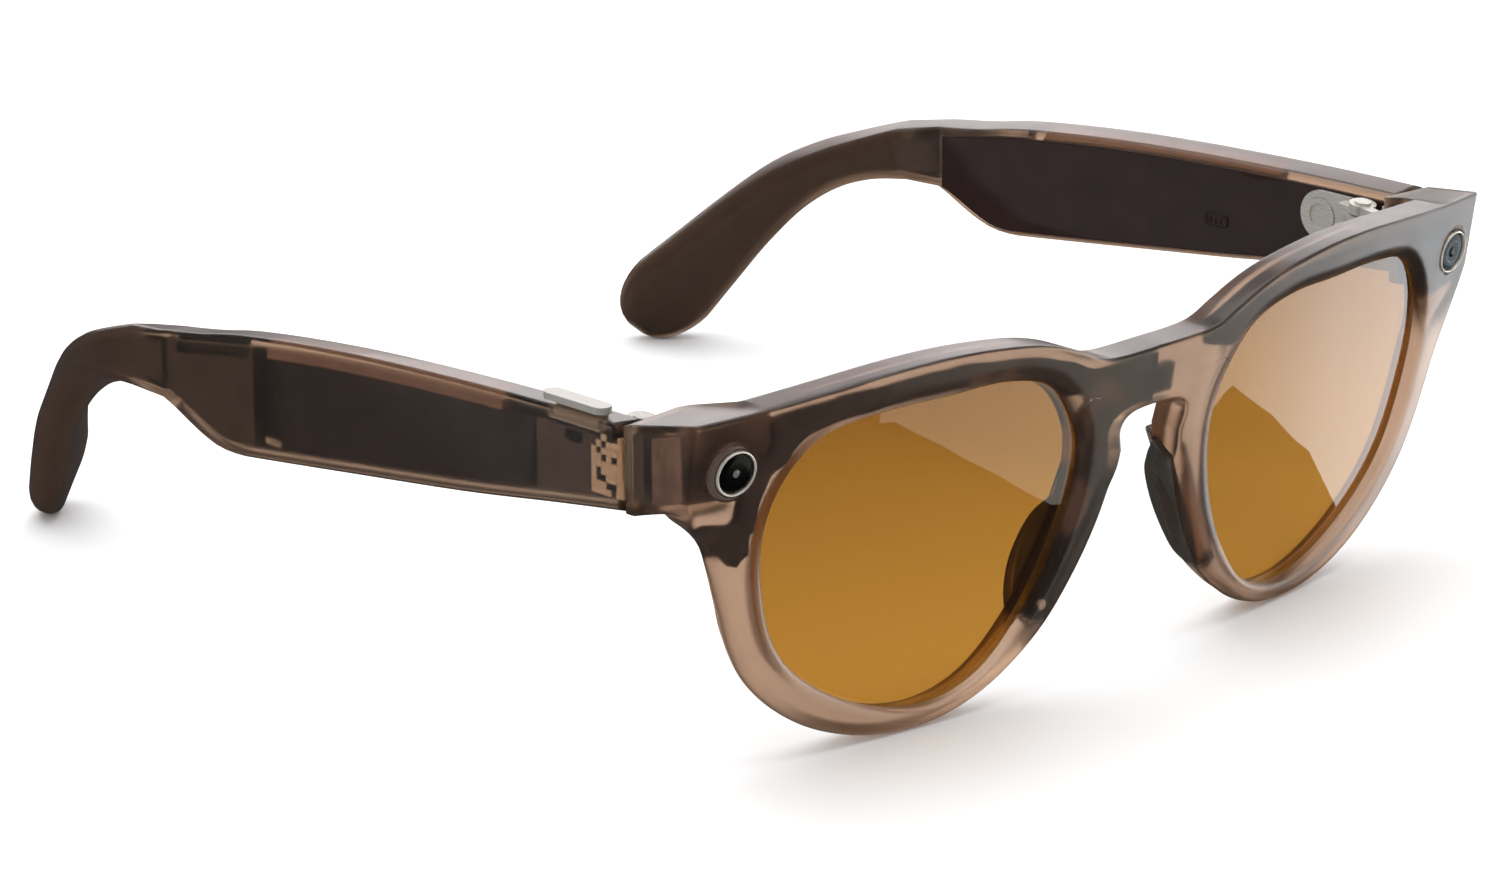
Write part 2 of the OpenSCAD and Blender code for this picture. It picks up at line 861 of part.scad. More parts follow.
module status_hole(r) {
    translate([temple_in - 1, status_y, status_z])
        rotate([0, 90, 0])
            cylinder(r = r, h = 3);
}

module status_light() {
    color([0.85, 0.85, 0.80])
        on_side(1)
            translate([temple_in + 0.1, status_y, status_z])
                rotate([0, 90, 0])
                    cylinder(r = 0.55, h = 1.2);
}

// ---------------------------------------------------------------- build

front_frame();
brow_cover();
lens(-1);  // lens_right
lens(1);  // lens_left
nose_pad(-1);  // nose_pad_right
nose_pad(1);  // nose_pad_left
window_ring(1);  // camera_ring
window_glass(1, [0.30, 0.33, 0.38]);  // camera_window
camera_module();
corner_board(1);  // camera_board
window_ring(-1);  // indicator_ring
window_glass(-1, black_glass);  // indicator_window
indicator_light();
corner_board(-1);  // indicator_board
front_flex();
nose_microphone();
charging_contact_carrier();
charging_contacts();
hinge_front_leaf(-1);  // hinge_front_leaf_right
hinge_front_leaf(1);  // hinge_front_leaf_left
hinge_pin(-1);  // hinge_pin_right
hinge_pin(1);  // hinge_pin_left
temple_shell(-1);  // temple_shell_right
temple_shell(1);  // temple_shell_left
temple_cover(-1);  // temple_cover_right
temple_cover(1);  // temple_cover_left
tip_core(-1);  // tip_core_right
tip_core(1);  // tip_core_left
hinge_rear_leaf(-1);  // hinge_rear_leaf_right
hinge_rear_leaf(1);  // hinge_rear_leaf_left
hinge_disc(-1);  // hinge_disc_right
hinge_disc(1);  // hinge_disc_left
speaker(-1);  // speaker_right
speaker(1);  // speaker_left
speaker_grille(-1);  // speaker_grille_right
speaker_grille(1);  // speaker_grille_left
temple_microphone(-1);  // temple_microphone_right
temple_microphone(1);  // temple_microphone_left
top_bracket(-1);  // top_bracket_right
top_bracket(1);  // top_bracket_left
main_board();
processor_shield();
touch_sensor();
antenna();
capture_button();
capture_switch();
battery();
battery_board();
power_slider();
power_switch();
status_light();
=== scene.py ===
"""Smart glasses of clear brown plastic, open and standing on the rims and the temple tips.

Shapes are worked out in millimetres in the same design positions as the CAD: x is across
the face, z is up and y is the depth behind the plane of the two round windows. placed()
turns such positions into the row frame, in metres.
"""
import math

import bpy
import numpy as np
from mathutils import Matrix, Vector


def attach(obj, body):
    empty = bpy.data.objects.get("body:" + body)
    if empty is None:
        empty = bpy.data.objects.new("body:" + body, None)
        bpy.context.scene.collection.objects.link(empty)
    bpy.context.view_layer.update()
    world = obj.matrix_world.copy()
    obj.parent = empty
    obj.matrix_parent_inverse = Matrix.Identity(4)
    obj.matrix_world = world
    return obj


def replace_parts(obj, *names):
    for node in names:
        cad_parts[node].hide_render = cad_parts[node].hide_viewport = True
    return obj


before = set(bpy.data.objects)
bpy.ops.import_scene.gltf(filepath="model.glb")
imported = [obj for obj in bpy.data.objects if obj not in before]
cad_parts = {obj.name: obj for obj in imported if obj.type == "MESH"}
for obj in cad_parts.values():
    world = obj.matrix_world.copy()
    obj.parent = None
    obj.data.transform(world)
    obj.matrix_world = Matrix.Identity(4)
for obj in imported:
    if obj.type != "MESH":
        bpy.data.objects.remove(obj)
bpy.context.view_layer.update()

MM = 0.001
MID_Y = 68.4                      # from the window plane back to the middle of the footprint
WRAP_R = 265.0                    # radius of the wrap of the front, seen from above
LEAN = math.radians(8.75)         # the top of the front is further forward than its bottom
SURFACE_Y = -7.1                  # front face of the bridge at the height of REF_Z
REF_Z = 40.0
FRONT_T = 5.3
TEMPLE_OUT = 72.5
TEMPLE_IN = 67.5
SEAM_Y = 11.5
LENS_BACK = 1.5                   # from the front face back to the lens
LENS_T = 2.0
LENS_IN_GROOVE = 0.3              # how far the lens reaches into the front all round
WINDOW = (64.7, 39.8)
WINDOW_R = 2.85                   # outside radius of the bright ring
WINDOW_PROUD = 0.28               # how far a window stands out of the face
PORT_AT = (15.0, 12.0)            # x and z of the microphone port beside the nose
WINDOW_TURN = math.radians(7)
RIGHT, LEFT = -1, 1
SIDES = {RIGHT: "right", LEFT: "left"}

# Visible edge of the lens on the +X side, as x and z, anticlockwise from its outer side.
LENS_EDGE = [(59.2, 30), (57.4, 36.8), (52.4, 41.8), (44.5, 43.3), (35, 43.5), (25.6, 43.5), (17.9, 41.1),
             (13.2, 35), (12.1, 28.5), (13.9, 20.2), (17.6, 12.4), (23.6, 5.4), (31.5, 2.8), (40.5, 4.4),
             (49.3, 8.9), (55.2, 14.6), (58.1, 21.8)]
BROW_LINE = [(0, 43), (7, 43), (10.5, 43.5), (14, 45), (18.5, 46.7), (24, 47.9), (33, 48.7), (42, 48.6),
             (52, 47.8), (62, 46.9), (70.6, 46.4)]
RIM_LINE = [(70.4, 36.5), (69.2, 33.8), (68, 31.4), (65.8, 26.4), (64.1, 21.6), (62.2, 16.5), (59.3, 11.6),
            (54.8, 7.1), (48.9, 3.3), (42, 0.8), (35, 0), (28.2, 0.7), (21.4, 3.5), (15, 8.6), (10.6, 14.8),
            (7.5, 21.2), (5.8, 27), (5.3, 30.4)]
KEYHOLE_LINE = [(5.3, 30.4), (5.7, 31.8), (5.9, 33.1), (5.3, 34.3), (3.9, 35), (2, 35.25), (0, 35.3)]

# Top and bottom line of a temple, as y and z.
TEMPLE_TOP = [(11.5, 44.8), (28, 44.6), (48, 43.8), (64, 42.7), (80, 40.9), (97, 38.1)]
TEMPLE_LOW = [(11.5, 34.4), (24, 32.6), (40, 30.2), (60, 27.7), (78, 25.5), (82, 25.1), (85, 25.3),
              (88, 26.3), (91, 27.6), (94, 28.8), (97, 29.6)]
# Stations along a tip: x, y, z, half height, half thickness, twist in degrees.
TIP_STATIONS = [(69.4, 103, 33, 3.9, 2.5, 10), (68.2, 110, 31.2, 3.3, 2.6, 22),
                (66.6, 116.3, 28.8, 3.3, 2.7, 32), (64.7, 122.8, 24.8, 3.9, 2.8, 41),
                (62.4, 129, 19, 4.8, 2.7, 47), (59.6, 133.8, 13.3, 5.8, 2.6, 49),
                (56.7, 138.1, 7.9, 6.8, 2.45, 50)]
TIP_END = 8.5                     # length of the rounded end beyond the last station
TIP_END_STEPS = 9
TIP_START = 56                    # stations along the straight part


# ---------------------------------------------------------------- curves

def smooth(a, b, c, d, t):
    """A point on a smooth run, between b (t = 0) and c (t = 1)."""
    square = 2 * a - 5 * b + 4 * c - d
    cube = 3 * b - a - 3 * c + d
    return 0.5 * (2 * b + (c - a) * t + square * t * t + cube * t ** 3)


def loop_curve(points, steps=4):
    p = np.array(points, float)
    m = len(p)
    return np.array([smooth(p[i - 1], p[i], p[(i + 1) % m], p[(i + 2) % m], k / steps)
                     for i in range(m) for k in range(steps)])


def open_curve(points, steps=4):
    p = np.array(points, float)
    m = len(p)
    runs = [smooth(p[max(i - 1, 0)], p[i], p[i + 1], p[min(i + 2, m - 1)], k / steps)
            for i in range(m - 1) for k in range(steps)]
    return np.array(runs + [p[-1]])


def lengths(p):
    """Distance along a run of points, to each of them."""
    return np.concatenate([[0], np.cumsum(np.linalg.norm(np.diff(p, axis=0), axis=1))])


def resampled(p, count):
    """count evenly spaced points along a run."""
    s = lengths(p)
    t = np.linspace(0, s[-1], count)
    return np.stack([np.interp(t, s, p[:, k]) for k in range(p.shape[1])], axis=1)


def left_normals(p, closed=False):
    """Unit normals to the left of the direction of travel along points in a plane."""
    if closed:
        d = np.roll(p, -1, axis=0) - np.roll(p, 1, axis=0)
    else:
        d = np.gradient(p, axis=0)
    n = np.stack([-d[:, 1], d[:, 0]], axis=1)
    return n / np.linalg.norm(n, axis=1, keepdims=True)


def ramp(value, low, high):
    """0 below low, 1 above high, with soft ends."""
    t = np.clip((np.asarray(value, float) - low) / (high - low), 0, 1)
    return t * t * (3 - 2 * t)


# ---------------------------------------------------------------- meshes

def placed(p):
    """Design positions in millimetres, as row frame positions in metres."""
    p = np.asarray(p, float)
    return (p - np.array([0, MID_Y, 0])) * MM


def behind_face(gap):
    """For slab(): places at a depth behind the front's face."""
    return lambda x, z, d: np.stack([x, front_y(x, z) + gap + d, z], axis=1)


def beside(face, way):
    """For slab(): places in a temple, from the plane x = face inwards (way -1) or outwards (way 1)."""
    return lambda y, z, d: np.stack([face + way * d, y, z], axis=1)


def make_piece(name, points, faces, material, body, slot, side=LEFT, flat=False, weighted=True):
    """One mesh piece from design positions, mirrored over to the wearer's right where side says so."""
    p = placed(points)
    faces = [tuple(f) for f in faces]
    if side == RIGHT:
        p = p * np.array([-1, 1, 1])
        faces = [f[::-1] for f in faces]
    mesh = bpy.data.meshes.new(name)
    mesh.from_pydata([tuple(q) for q in p], [], faces)
    mesh.validate()
    mesh.polygons.foreach_set("use_smooth", [not flat] * len(mesh.polygons))
    mesh.materials.append(material)
    piece = bpy.data.objects.new(name, mesh)
    bpy.context.scene.collection.objects.link(piece)
    if weighted and not flat:
        shade = piece.modifiers.new("even_faces", "WEIGHTED_NORMAL")
        shade.keep_sharp = True
    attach(piece, body)
    return piece


def signed_volume(points, faces):
    p = np.asarray(points, float)
    total = 0.0
    for f in faces:
        for i in range(1, len(f) - 1):
            total += np.dot(p[f[0]], np.cross(p[f[i]], p[f[i + 1]]))
    return total / 6


def outward(points, faces):
    """The faces turned so that the closed mesh's normals point outwards."""
    if signed_volume(points, faces) < 0:
        return [tuple(f)[::-1] for f in faces]
    return faces


def strip_faces(rows, columns):
    """Quads of a grid of closed rows, stored row by row."""
    faces = []
    for i in range(rows - 1):
        for j in range(columns):
            k = (j + 1) % columns
            a = i * columns
            b = a + columns
            faces.append((a + j, a + k, b + k, b + j))
    return faces


def loft(rings):
    """Points and outward faces of a closed body through rings of equal length, with end caps."""
    rings = [np.asarray(r, float) for r in rings]
    columns = len(rings[0])
    points = np.concatenate(rings)
    last = (len(rings) - 1) * columns
    faces = strip_faces(len(rings), columns)
    faces.append(tuple(range(columns - 1, -1, -1)))
    faces.append(tuple(range(last, last + columns)))
    return points, outward(points, faces)


def slab(outline, centre, to_space, thickness, edge, steps=4, rows=5, crown=0.0):
    """A plate with rounded edges over a closed outline in a plane. to_space(u, v, depth) gives
    its place; depth runs from 0 on one face to thickness on the other, and crown raises the first."""
    outline = np.asarray(outline, float)
    centre = np.asarray(centre, float)
    inward = left_normals(outline, closed=True)
    if np.sum((centre - outline) * inward) < 0:
        inward = -inward
    reach = np.linalg.norm(outline - centre, axis=1).max()
    face = []
    for i in range(steps + 1):
        a = math.radians(90) * i / steps
        face.append((outline + inward * edge * (1 - math.cos(a)), edge * (1 - math.sin(a))))
    shoulder = face[-1][0]
    for i in range(1, rows + 1):
        face.append((shoulder + (centre - shoulder) * i / (rows + 0.5), 0.0))
    rings = []
    for flat, drop in face:
        rise = crown * (1 - (np.linalg.norm(flat - centre, axis=1) / reach) ** 2)
        rings.append(to_space(flat[:, 0], flat[:, 1], drop - rise))
    back = [to_space(flat[:, 0], flat[:, 1], thickness - drop + 0 * flat[:, 0]) for flat, drop in face]
    return loft(rings[::-1] + back)


def make_slab(name, outline, centre, to_space, thickness, edge, material, body, slot, side=LEFT, **shape):
    points, faces = slab(outline, centre, to_space, thickness, edge, **shape)
    return make_piece(name, points, faces, material, body, slot, side)


# ---------------------------------------------------------------- materials

def add_node(tree, kind, inputs=None, **settings):
    """One shader node with its inputs linked or set."""
    made = tree.nodes.new("ShaderNode" + kind)
    for key, value in settings.items():
        setattr(made, key, value)
    for key, value in (inputs or {}).items():
        if isinstance(value, bpy.types.NodeSocket):
            tree.links.new(value, made.inputs[key])
        else:
            made.inputs[key].default_value = value
    return made


def add_mix(tree, factor, a, b):
    """A colour between a and b."""
    ends = [value if isinstance(value, bpy.types.NodeSocket) else (*value, 1) for value in (a, b)]
    return add_node(tree, "Mix", {0: factor, 6: ends[0], 7: ends[1]}, data_type="RGBA").outputs[2]


class Paint:
    """A node material under construction: a Principled shader and what feeds it."""

    def __init__(self, name, **values):
        self.name = name
        self.material = bpy.data.materials.new(name)
        self.material.use_nodes = True
        self.tree = self.material.node_tree
        self.shader = self.tree.nodes["Principled BSDF"]
        self.place = self.node("TexCoord").outputs["Object"]
        for key, value in values.items():
            self.shader.inputs[key.replace("_", " ")].default_value = value

    def node(self, kind, inputs=None, **settings):
        return add_node(self.tree, kind, inputs, **settings)

    def noise(self, scale, detail=3.0, rough=0.5, distortion=0.0, place=None):
        inputs = {"Vector": place or self.place, "Scale": scale, "Detail": detail, "Roughness": rough,
                  "Distortion": distortion}
        return self.node("TexNoise", inputs).outputs["Fac"]

    def span(self, value, low, high, to_low=0.0, to_high=1.0):
        inputs = {"Value": value, "From Min": low, "From Max": high, "To Min": to_low, "To Max": to_high}
        return self.node("MapRange", inputs).outputs["Result"]

    def blend(self, factor, a, b):
        return add_mix(self.tree, factor, a, b)

    def done(self):
        """The name and the finished material, for the table of materials."""
        return self.name, self.material

    def feed(self, name, socket):
        self.tree.links.new(socket, self.shader.inputs[name])

    def clouds(self, value, low, high, colours):
        """Base colour between two colours by where value lies between low and high."""
        self.feed("Base Color", self.blend(self.span(value, low, high), *colours))

    def roughness(self, low, high, scale):
        self.feed("Roughness", self.span(self.noise(scale), 0.3, 0.7, low, high))

    def bump(self, height, strength, distance):
        inputs = {"Height": height, "Strength": strength, "Distance": distance}
        self.feed("Normal", self.node("Bump", inputs).outputs["Normal"])

    def absorb(self, colour, density):
        volume = self.node("VolumeAbsorption", {"Color": (*colour, 1), "Density": density})
        output = self.tree.nodes["Material Output"]
        self.tree.links.new(volume.outputs["Volume"], output.inputs["Volume"])


def smoke_plastic():
    """Clear brown plastic: it darkens with depth and has faint clouds of colour."""
    paint = Paint("smoke_plastic", IOR=1.49, Transmission_Weight=0.985, Coat_Weight=0.15,
                  Coat_Roughness=0.05)
    paint.clouds(paint.noise(90, 4, 0.55, 0.6), 0.35, 0.65, ((0.66, 0.50, 0.385), (0.73, 0.56, 0.435)))
    paint.roughness(0.28, 0.34, 300)
    paint.bump(paint.noise(500, 2), 0.006, 0.0002)
    paint.absorb((0.55, 0.40, 0.28), 205)
    return paint.done()


def amber_lens():
    """Amber sun lens, darker towards its top."""
    paint = Paint("amber_lens", IOR=1.5, Transmission_Weight=1.0)
    height = paint.node("SeparateXYZ", {"Vector": paint.place}).outputs["Z"]
    paint.clouds(height, 0.004, 0.044, ((0.437, 0.209, 0.031), (0.225, 0.097, 0.0145)))
    paint.roughness(0.0, 0.012, 300)
    return paint.done()


def opaque(name, colour, other, rough, scale=300, bump=0.01, gloss=0.5, coat=0.0):
    """A solid finish: two close colours in fine clouds, uneven gloss and a slight grain."""
    paint = Paint(name, Specular_IOR_Level=gloss, Coat_Weight=coat)
    paint.clouds(paint.noise(scale, 4), 0.35, 0.65, (colour, other))
    paint.roughness(rough * 0.8, rough * 1.25, scale * 2)
    paint.bump(paint.noise(scale * 3, 2), bump, 0.0001)
    return paint.done()


def brushed_metal(name, colour, rough):
    """Metal with fine lines along its length."""
    paint = Paint(name, Metallic=0.55)
    stretched = paint.node("Mapping", {"Vector": paint.place, "Scale": (1, 0.06, 1)}).outputs["Vector"]
    lines = paint.noise(5200, 3, 0.6, 0.0, stretched)
    darker = tuple(c * 0.78 for c in colour)
    paint.clouds(lines, 0.35, 0.65, (darker, colour))
    paint.feed("Roughness", paint.span(lines, 0.3, 0.7, rough * 0.8, rough * 1.2))
    paint.bump(lines, 0.08, 0.00005)
    return paint.done()


def mottled(name, dark, light, low, high, scale):
    """Carriers and panels inside the plastic: dark brown, lighter where the plastic shows through."""
    paint = Paint(name)
    paint.clouds(paint.noise(scale, 3, 0.5, 0.3), low, high, (dark, light))
    paint.roughness(0.35, 0.55, 300)
    paint.bump(paint.noise(600), 0.01, 0.0002)
    return paint.done()


def make_materials():
    """Every material, by its name."""
    made = [
        smoke_plastic(),
        amber_lens(),
        mottled("dark_module", (0.034, 0.021, 0.021), (0.190, 0.125, 0.105), 0.52, 0.61, 150),
        mottled("corner_carrier", (0.048, 0.030, 0.028), (0.200, 0.130, 0.105), 0.42, 0.56, 150),
        opaque("panel_block", (0.016, 0.005, 0.007), (0.020, 0.008, 0.010), 0.3, 200, gloss=0.3),
        opaque("panel_carrier", (0.085, 0.060, 0.055), (0.125, 0.092, 0.082), 0.35, 260, bump=0.02),
        opaque("window_collar", (0.065, 0.040, 0.032), (0.110, 0.072, 0.058), 0.35, 300, bump=0.02),
        opaque("tan_film", (0.90, 0.74, 0.57), (0.97, 0.82, 0.65), 0.4, 400),
        opaque("eye_ring", (0.10, 0.13, 0.15), (0.14, 0.17, 0.19), 0.25, 300, gloss=0.2),
        # grey disc in the black indicator window: a painted highlight
        opaque("indicator_painted_highlight", (0.10, 0.10, 0.10), (0.14, 0.14, 0.14), 0.15, 300, bump=0.01),
        mottled("endpiece_panel", (0.200, 0.135, 0.118), (0.330, 0.225, 0.185), 0.45, 0.60, 220),
        opaque("microphone_port", (0.85, 0.80, 0.76), (0.95, 0.90, 0.86), 0.35, 800),
        opaque("olive_pad", (0.046, 0.037, 0.027), (0.060, 0.048, 0.036), 0.45, 500),
        brushed_metal("bright_metal", (0.86, 0.80, 0.72), 0.2),
        brushed_metal("hinge_metal", (0.78, 0.76, 0.70), 0.32),
        brushed_metal("button_metal", (0.55, 0.53, 0.49), 0.34),
        brushed_metal("gold_contact", (0.85, 0.62, 0.28), 0.22),
        brushed_metal("shield_can", (0.42, 0.42, 0.44), 0.35),
        opaque("camera_glass", (0.026, 0.036, 0.044), (0.036, 0.048, 0.057), 0.10, 500, bump=0.003,
               gloss=0.06),
        opaque("black_glass", (0.001, 0.001, 0.001), (0.002, 0.002, 0.002), 0.10, 500, bump=0.003,
               gloss=0.12),
        opaque("charcoal_plastic", (0.018, 0.014, 0.013), (0.028, 0.021, 0.019), 0.4),
        opaque("light_guide", (0.30, 0.31, 0.32), (0.38, 0.38, 0.38), 0.4),
        opaque("circuit_board", (0.020, 0.022, 0.020), (0.050, 0.045, 0.038), 0.45, 900),
        opaque("microphone_can", (0.60, 0.52, 0.46), (0.75, 0.66, 0.60), 0.35, 800),
        opaque("inner_cover", (0.021, 0.009, 0.008), (0.026, 0.012, 0.010), 0.35, 260, bump=0.004,
               gloss=0.22, coat=0.25),
        opaque("tip_core", (0.056, 0.031, 0.019), (0.068, 0.040, 0.026), 0.3, 260),
        opaque("grille", (0.003, 0.003, 0.003), (0.006, 0.006, 0.006), 0.6, 900),
        opaque("tan_bracket", (0.34, 0.22, 0.165), (0.42, 0.28, 0.215), 0.4, 400, bump=0.02),
        opaque("battery_wrap", (0.020, 0.016, 0.018), (0.030, 0.024, 0.026), 0.3, 400),
        opaque("switch_body", (0.13, 0.13, 0.13), (0.18, 0.18, 0.18), 0.35),
        opaque("status_lens", (0.70, 0.70, 0.66), (0.80, 0.80, 0.76), 0.2),
    ]
    return dict(made)


# ---------------------------------------------------------------- front

def front_y(x, z):
    """Depth of the wrapped, leaning front face."""
    return SURFACE_Y + x * x / (2 * WRAP_R) - (z - REF_Z) * math.tan(LEAN)


MODULE_TEMPORAL_Z = 27.5          # heights where the electronics' band ends at the temple side
MODULE_NASAL_Z = 19.4             # and at the nose
MODULE_DEPTH = 1.6                # from the front's face to the band
MODULE_T = 1.5
MODULE_ROWS = 9
EDGE_STEPS = 5
BEVEL_STEPS = 7
MIDDLE_STEPS = 7
BEVEL_W = 2.8                     # the slope round a lens: its width
BEVEL_DEPTH = 1.0                 # and how far it falls
BEVEL_SHARE = 0.62                # most of a rim's width that the slope takes where the rim is narrow
LENS_MIDDLE = (35.8, 24.0)        # the point that the columns of the front's grid turn about
LENS_FACE_MIDDLE = (35.8, 23.5)   # where the rows of a lens's faces close


def half_outline():
    """The outer edge of the +X half from the top of the bridge round to its keyhole."""
    brow = resampled(open_curve(BROW_LINE, 8), 92)
    side = resampled(np.array([BROW_LINE[-1], RIM_LINE[0]], float), 13)
    rim = resampled(open_curve(RIM_LINE, 8), 150)
    keyhole = resampled(open_curve(KEYHOLE_LINE, 10), 26)
    return np.concatenate([brow, side[1:], rim[1:], keyhole[1:]])


def edge_radius(p):
    """Radius of the rounded outer edge: crisp along the brow, softer round the rim."""
    low = ramp(-p[:, 1], -34.5, -24)
    keyhole = ramp(-p[:, 0], -9, -6.5) * ramp(-p[:, 1], -40, -36.5) * ramp(p[:, 1], 25, 29)
    return (0.5 + 0.8 * low) * (1 - keyhole) + 0.4 * keyhole


def endpiece_weight(x, z):
    return ramp(x, 61.0, 63.4) * ramp(z, 34.6, 36.3)


def back_draft(outline, lens_gap):
    """How far the back outline is drawn in: the outer wall slopes on the temporal and lower sides."""
    low = ramp(-outline[:, 1], -35.0, -27.0)
    nasal = 1 - 0.8 * ramp(-outline[:, 0], -22.0, -10.0)
    return np.minimum(3.2, 0.42 * lens_gap) * low * nasal


def back_places(x, z, drop):
    """The back of the front: a constant thickness, and the block behind the window."""
    w = endpiece_weight(x, z)
    rim_y = front_y(x, z) + FRONT_T - drop
    block_x = x + np.clip((x - 61.8) / 8.8, 0, 1) * 1.9
    block_z = 34 + (z - 36.3) * (45.1 - 34) / (46.6 - 36.3)
    back_y = rim_y + w * (SEAM_Y - drop - rim_y)
    return np.stack([x + w * (block_x - x), back_y, z + w * (block_z - z)], axis=-1)


def bridge_turn(outer):
    """How much further up the lens edge the bridge's columns aim, so that none of them leaves the bridge
    through its keyhole: most at the top of the keyhole, less along the brow, none beyond."""
    x, z = outer[:, 0], outer[:, 1]
    keyhole_side = 4.0 * ramp(z, 27, 33.5)
    top = 8.5 * ramp(-x, -5.9, -2.0)
    over_brow = ramp(z, 35.3, 42.4)
    brow = 6.5 * ramp(-x, -12, -1)
    low_part = (keyhole_side + top) * ramp(-x, -8, -6)
    return np.radians(low_part * (1 - over_brow) + brow * over_brow)


def turn_about_lens(p):
    """Angle of points about the middle of the lens, without jumps."""
    return np.unwrap(np.arctan2(p[:, 1] - LENS_MIDDLE[1], p[:, 0] - LENS_MIDDLE[0]))


def matched_lens_edge(outer):
    """For each outer point the point of the lens edge that faces it, turning one way only."""
    edge = resampled(np.concatenate([loop_curve(LENS_EDGE, 8), [LENS_EDGE[0]]]), 600)[:-1]
    edge_angle = turn_about_lens(edge)
    outer_angle = turn_about_lens(outer)
    start = outer_angle[0]
    end = start - 2 * math.pi
    run = np.minimum.accumulate(outer_angle)
    share = lengths(outer)
    even = start + (end - start) * share / share[-1]
    run = 0.88 * (start + (run - start) * (end - start) / (run[-1] - start)) + 0.12 * even
    run = run - bridge_turn(outer)
    turn = (run - edge_angle[0]) % (2 * math.pi) + edge_angle[0]
    whole_turn = np.concatenate([edge_angle, [edge_angle[0] + 2 * math.pi]])
    closed = np.concatenate([edge, edge[:1]])
    return np.stack([np.interp(turn, whole_turn, closed[:, k]) for k in range(2)], axis=1)


def softened(directions, passes, closed):
    """Unit directions evened out along a run; the two ends of an open run stay as they are."""
    d = directions
    for _ in range(passes):
        if closed:
            d = (np.roll(d, 1, axis=0) + 2 * d + np.roll(d, -1, axis=0)) / 4
        else:
            d[1:-1] = (d[:-2] + 2 * d[1:-1] + d[2:]) / 4
    return d / np.linalg.norm(d, axis=1, keepdims=True)


def away_from_lens(lens):
    """Directions square to the lens edge and away from it, at points on the edge."""
    loop = loop_curve(LENS_EDGE, 8)
    nearest = np.argmin(np.linalg.norm(lens[:, None] - loop[None], axis=2), axis=1)
    out = -left_normals(loop, closed=True)[nearest]
    inward = np.sum(out * (lens - np.array(LENS_MIDDLE)), axis=1) < 0
    return softened(np.where(inward[:, None], -out, out), 6, closed=True)


def front_grid():
    """The front's +X half as rows of (x, z) places from the outer edge in to the lens: outer is the row
    where the face begins and lens the last one. Rows of the rounded edge have no columns in the middle
    plane of the bridge; all the others do."""
    outline = half_outline()
    inward = softened(-left_normals(outline), 4, closed=False)
    inward[0] = (0, -1)
    inward[-1] = (0, 1)
    radius = edge_radius(outline)
    angles = np.radians(90) * np.arange(EDGE_STEPS + 1) / EDGE_STEPS
    edge_rows = [outline + inward * (radius * (1 - math.cos(a)))[:, None] for a in angles]
    shoulder = edge_rows[-1]
    middle = np.array([(0, z) for z in np.linspace(shoulder[-1, 1], shoulder[0, 1], 14)[1:-1]])
    outer = np.concatenate([shoulder, middle])
    lens = matched_lens_edge(np.concatenate([outer, outer[:1]]))[:-1]
    out = away_from_lens(lens)
    width = np.linalg.norm(outer - lens, axis=1)
    bevel = np.minimum(BEVEL_W, BEVEL_SHARE * width)
    shares = 1 - (np.arange(BEVEL_STEPS + 1) / BEVEL_STEPS) ** 0.8
    bevel_rows = [lens + out * (bevel * t)[:, None] for t in shares]
    middle_rows = [outer + (bevel_rows[0] - outer) * k / MIDDLE_STEPS for k in range(1, MIDDLE_STEPS)]
    draft = inward * back_draft(outline, width[:len(outline)])[:, None]
    back_outer = outer.copy()
    back_outer[:len(outline)] += draft
    count = len(middle_rows) + len(bevel_rows)
    return {
        "outer": outer,
        "lens": lens,
        "edge_rows": edge_rows,
        "edge_drops": [radius * (1 - math.sin(a)) for a in angles],
        "face_rows": [outer] + middle_rows + bevel_rows,
        "bevel": bevel,
        "shares": [1.0] * (1 + len(middle_rows)) + list(shares),
        "back_edge_rows": [row + draft for row in edge_rows],
        "back_rows": [back_outer + (lens - back_outer) * (k / count) for k in range(count + 1)],
    }


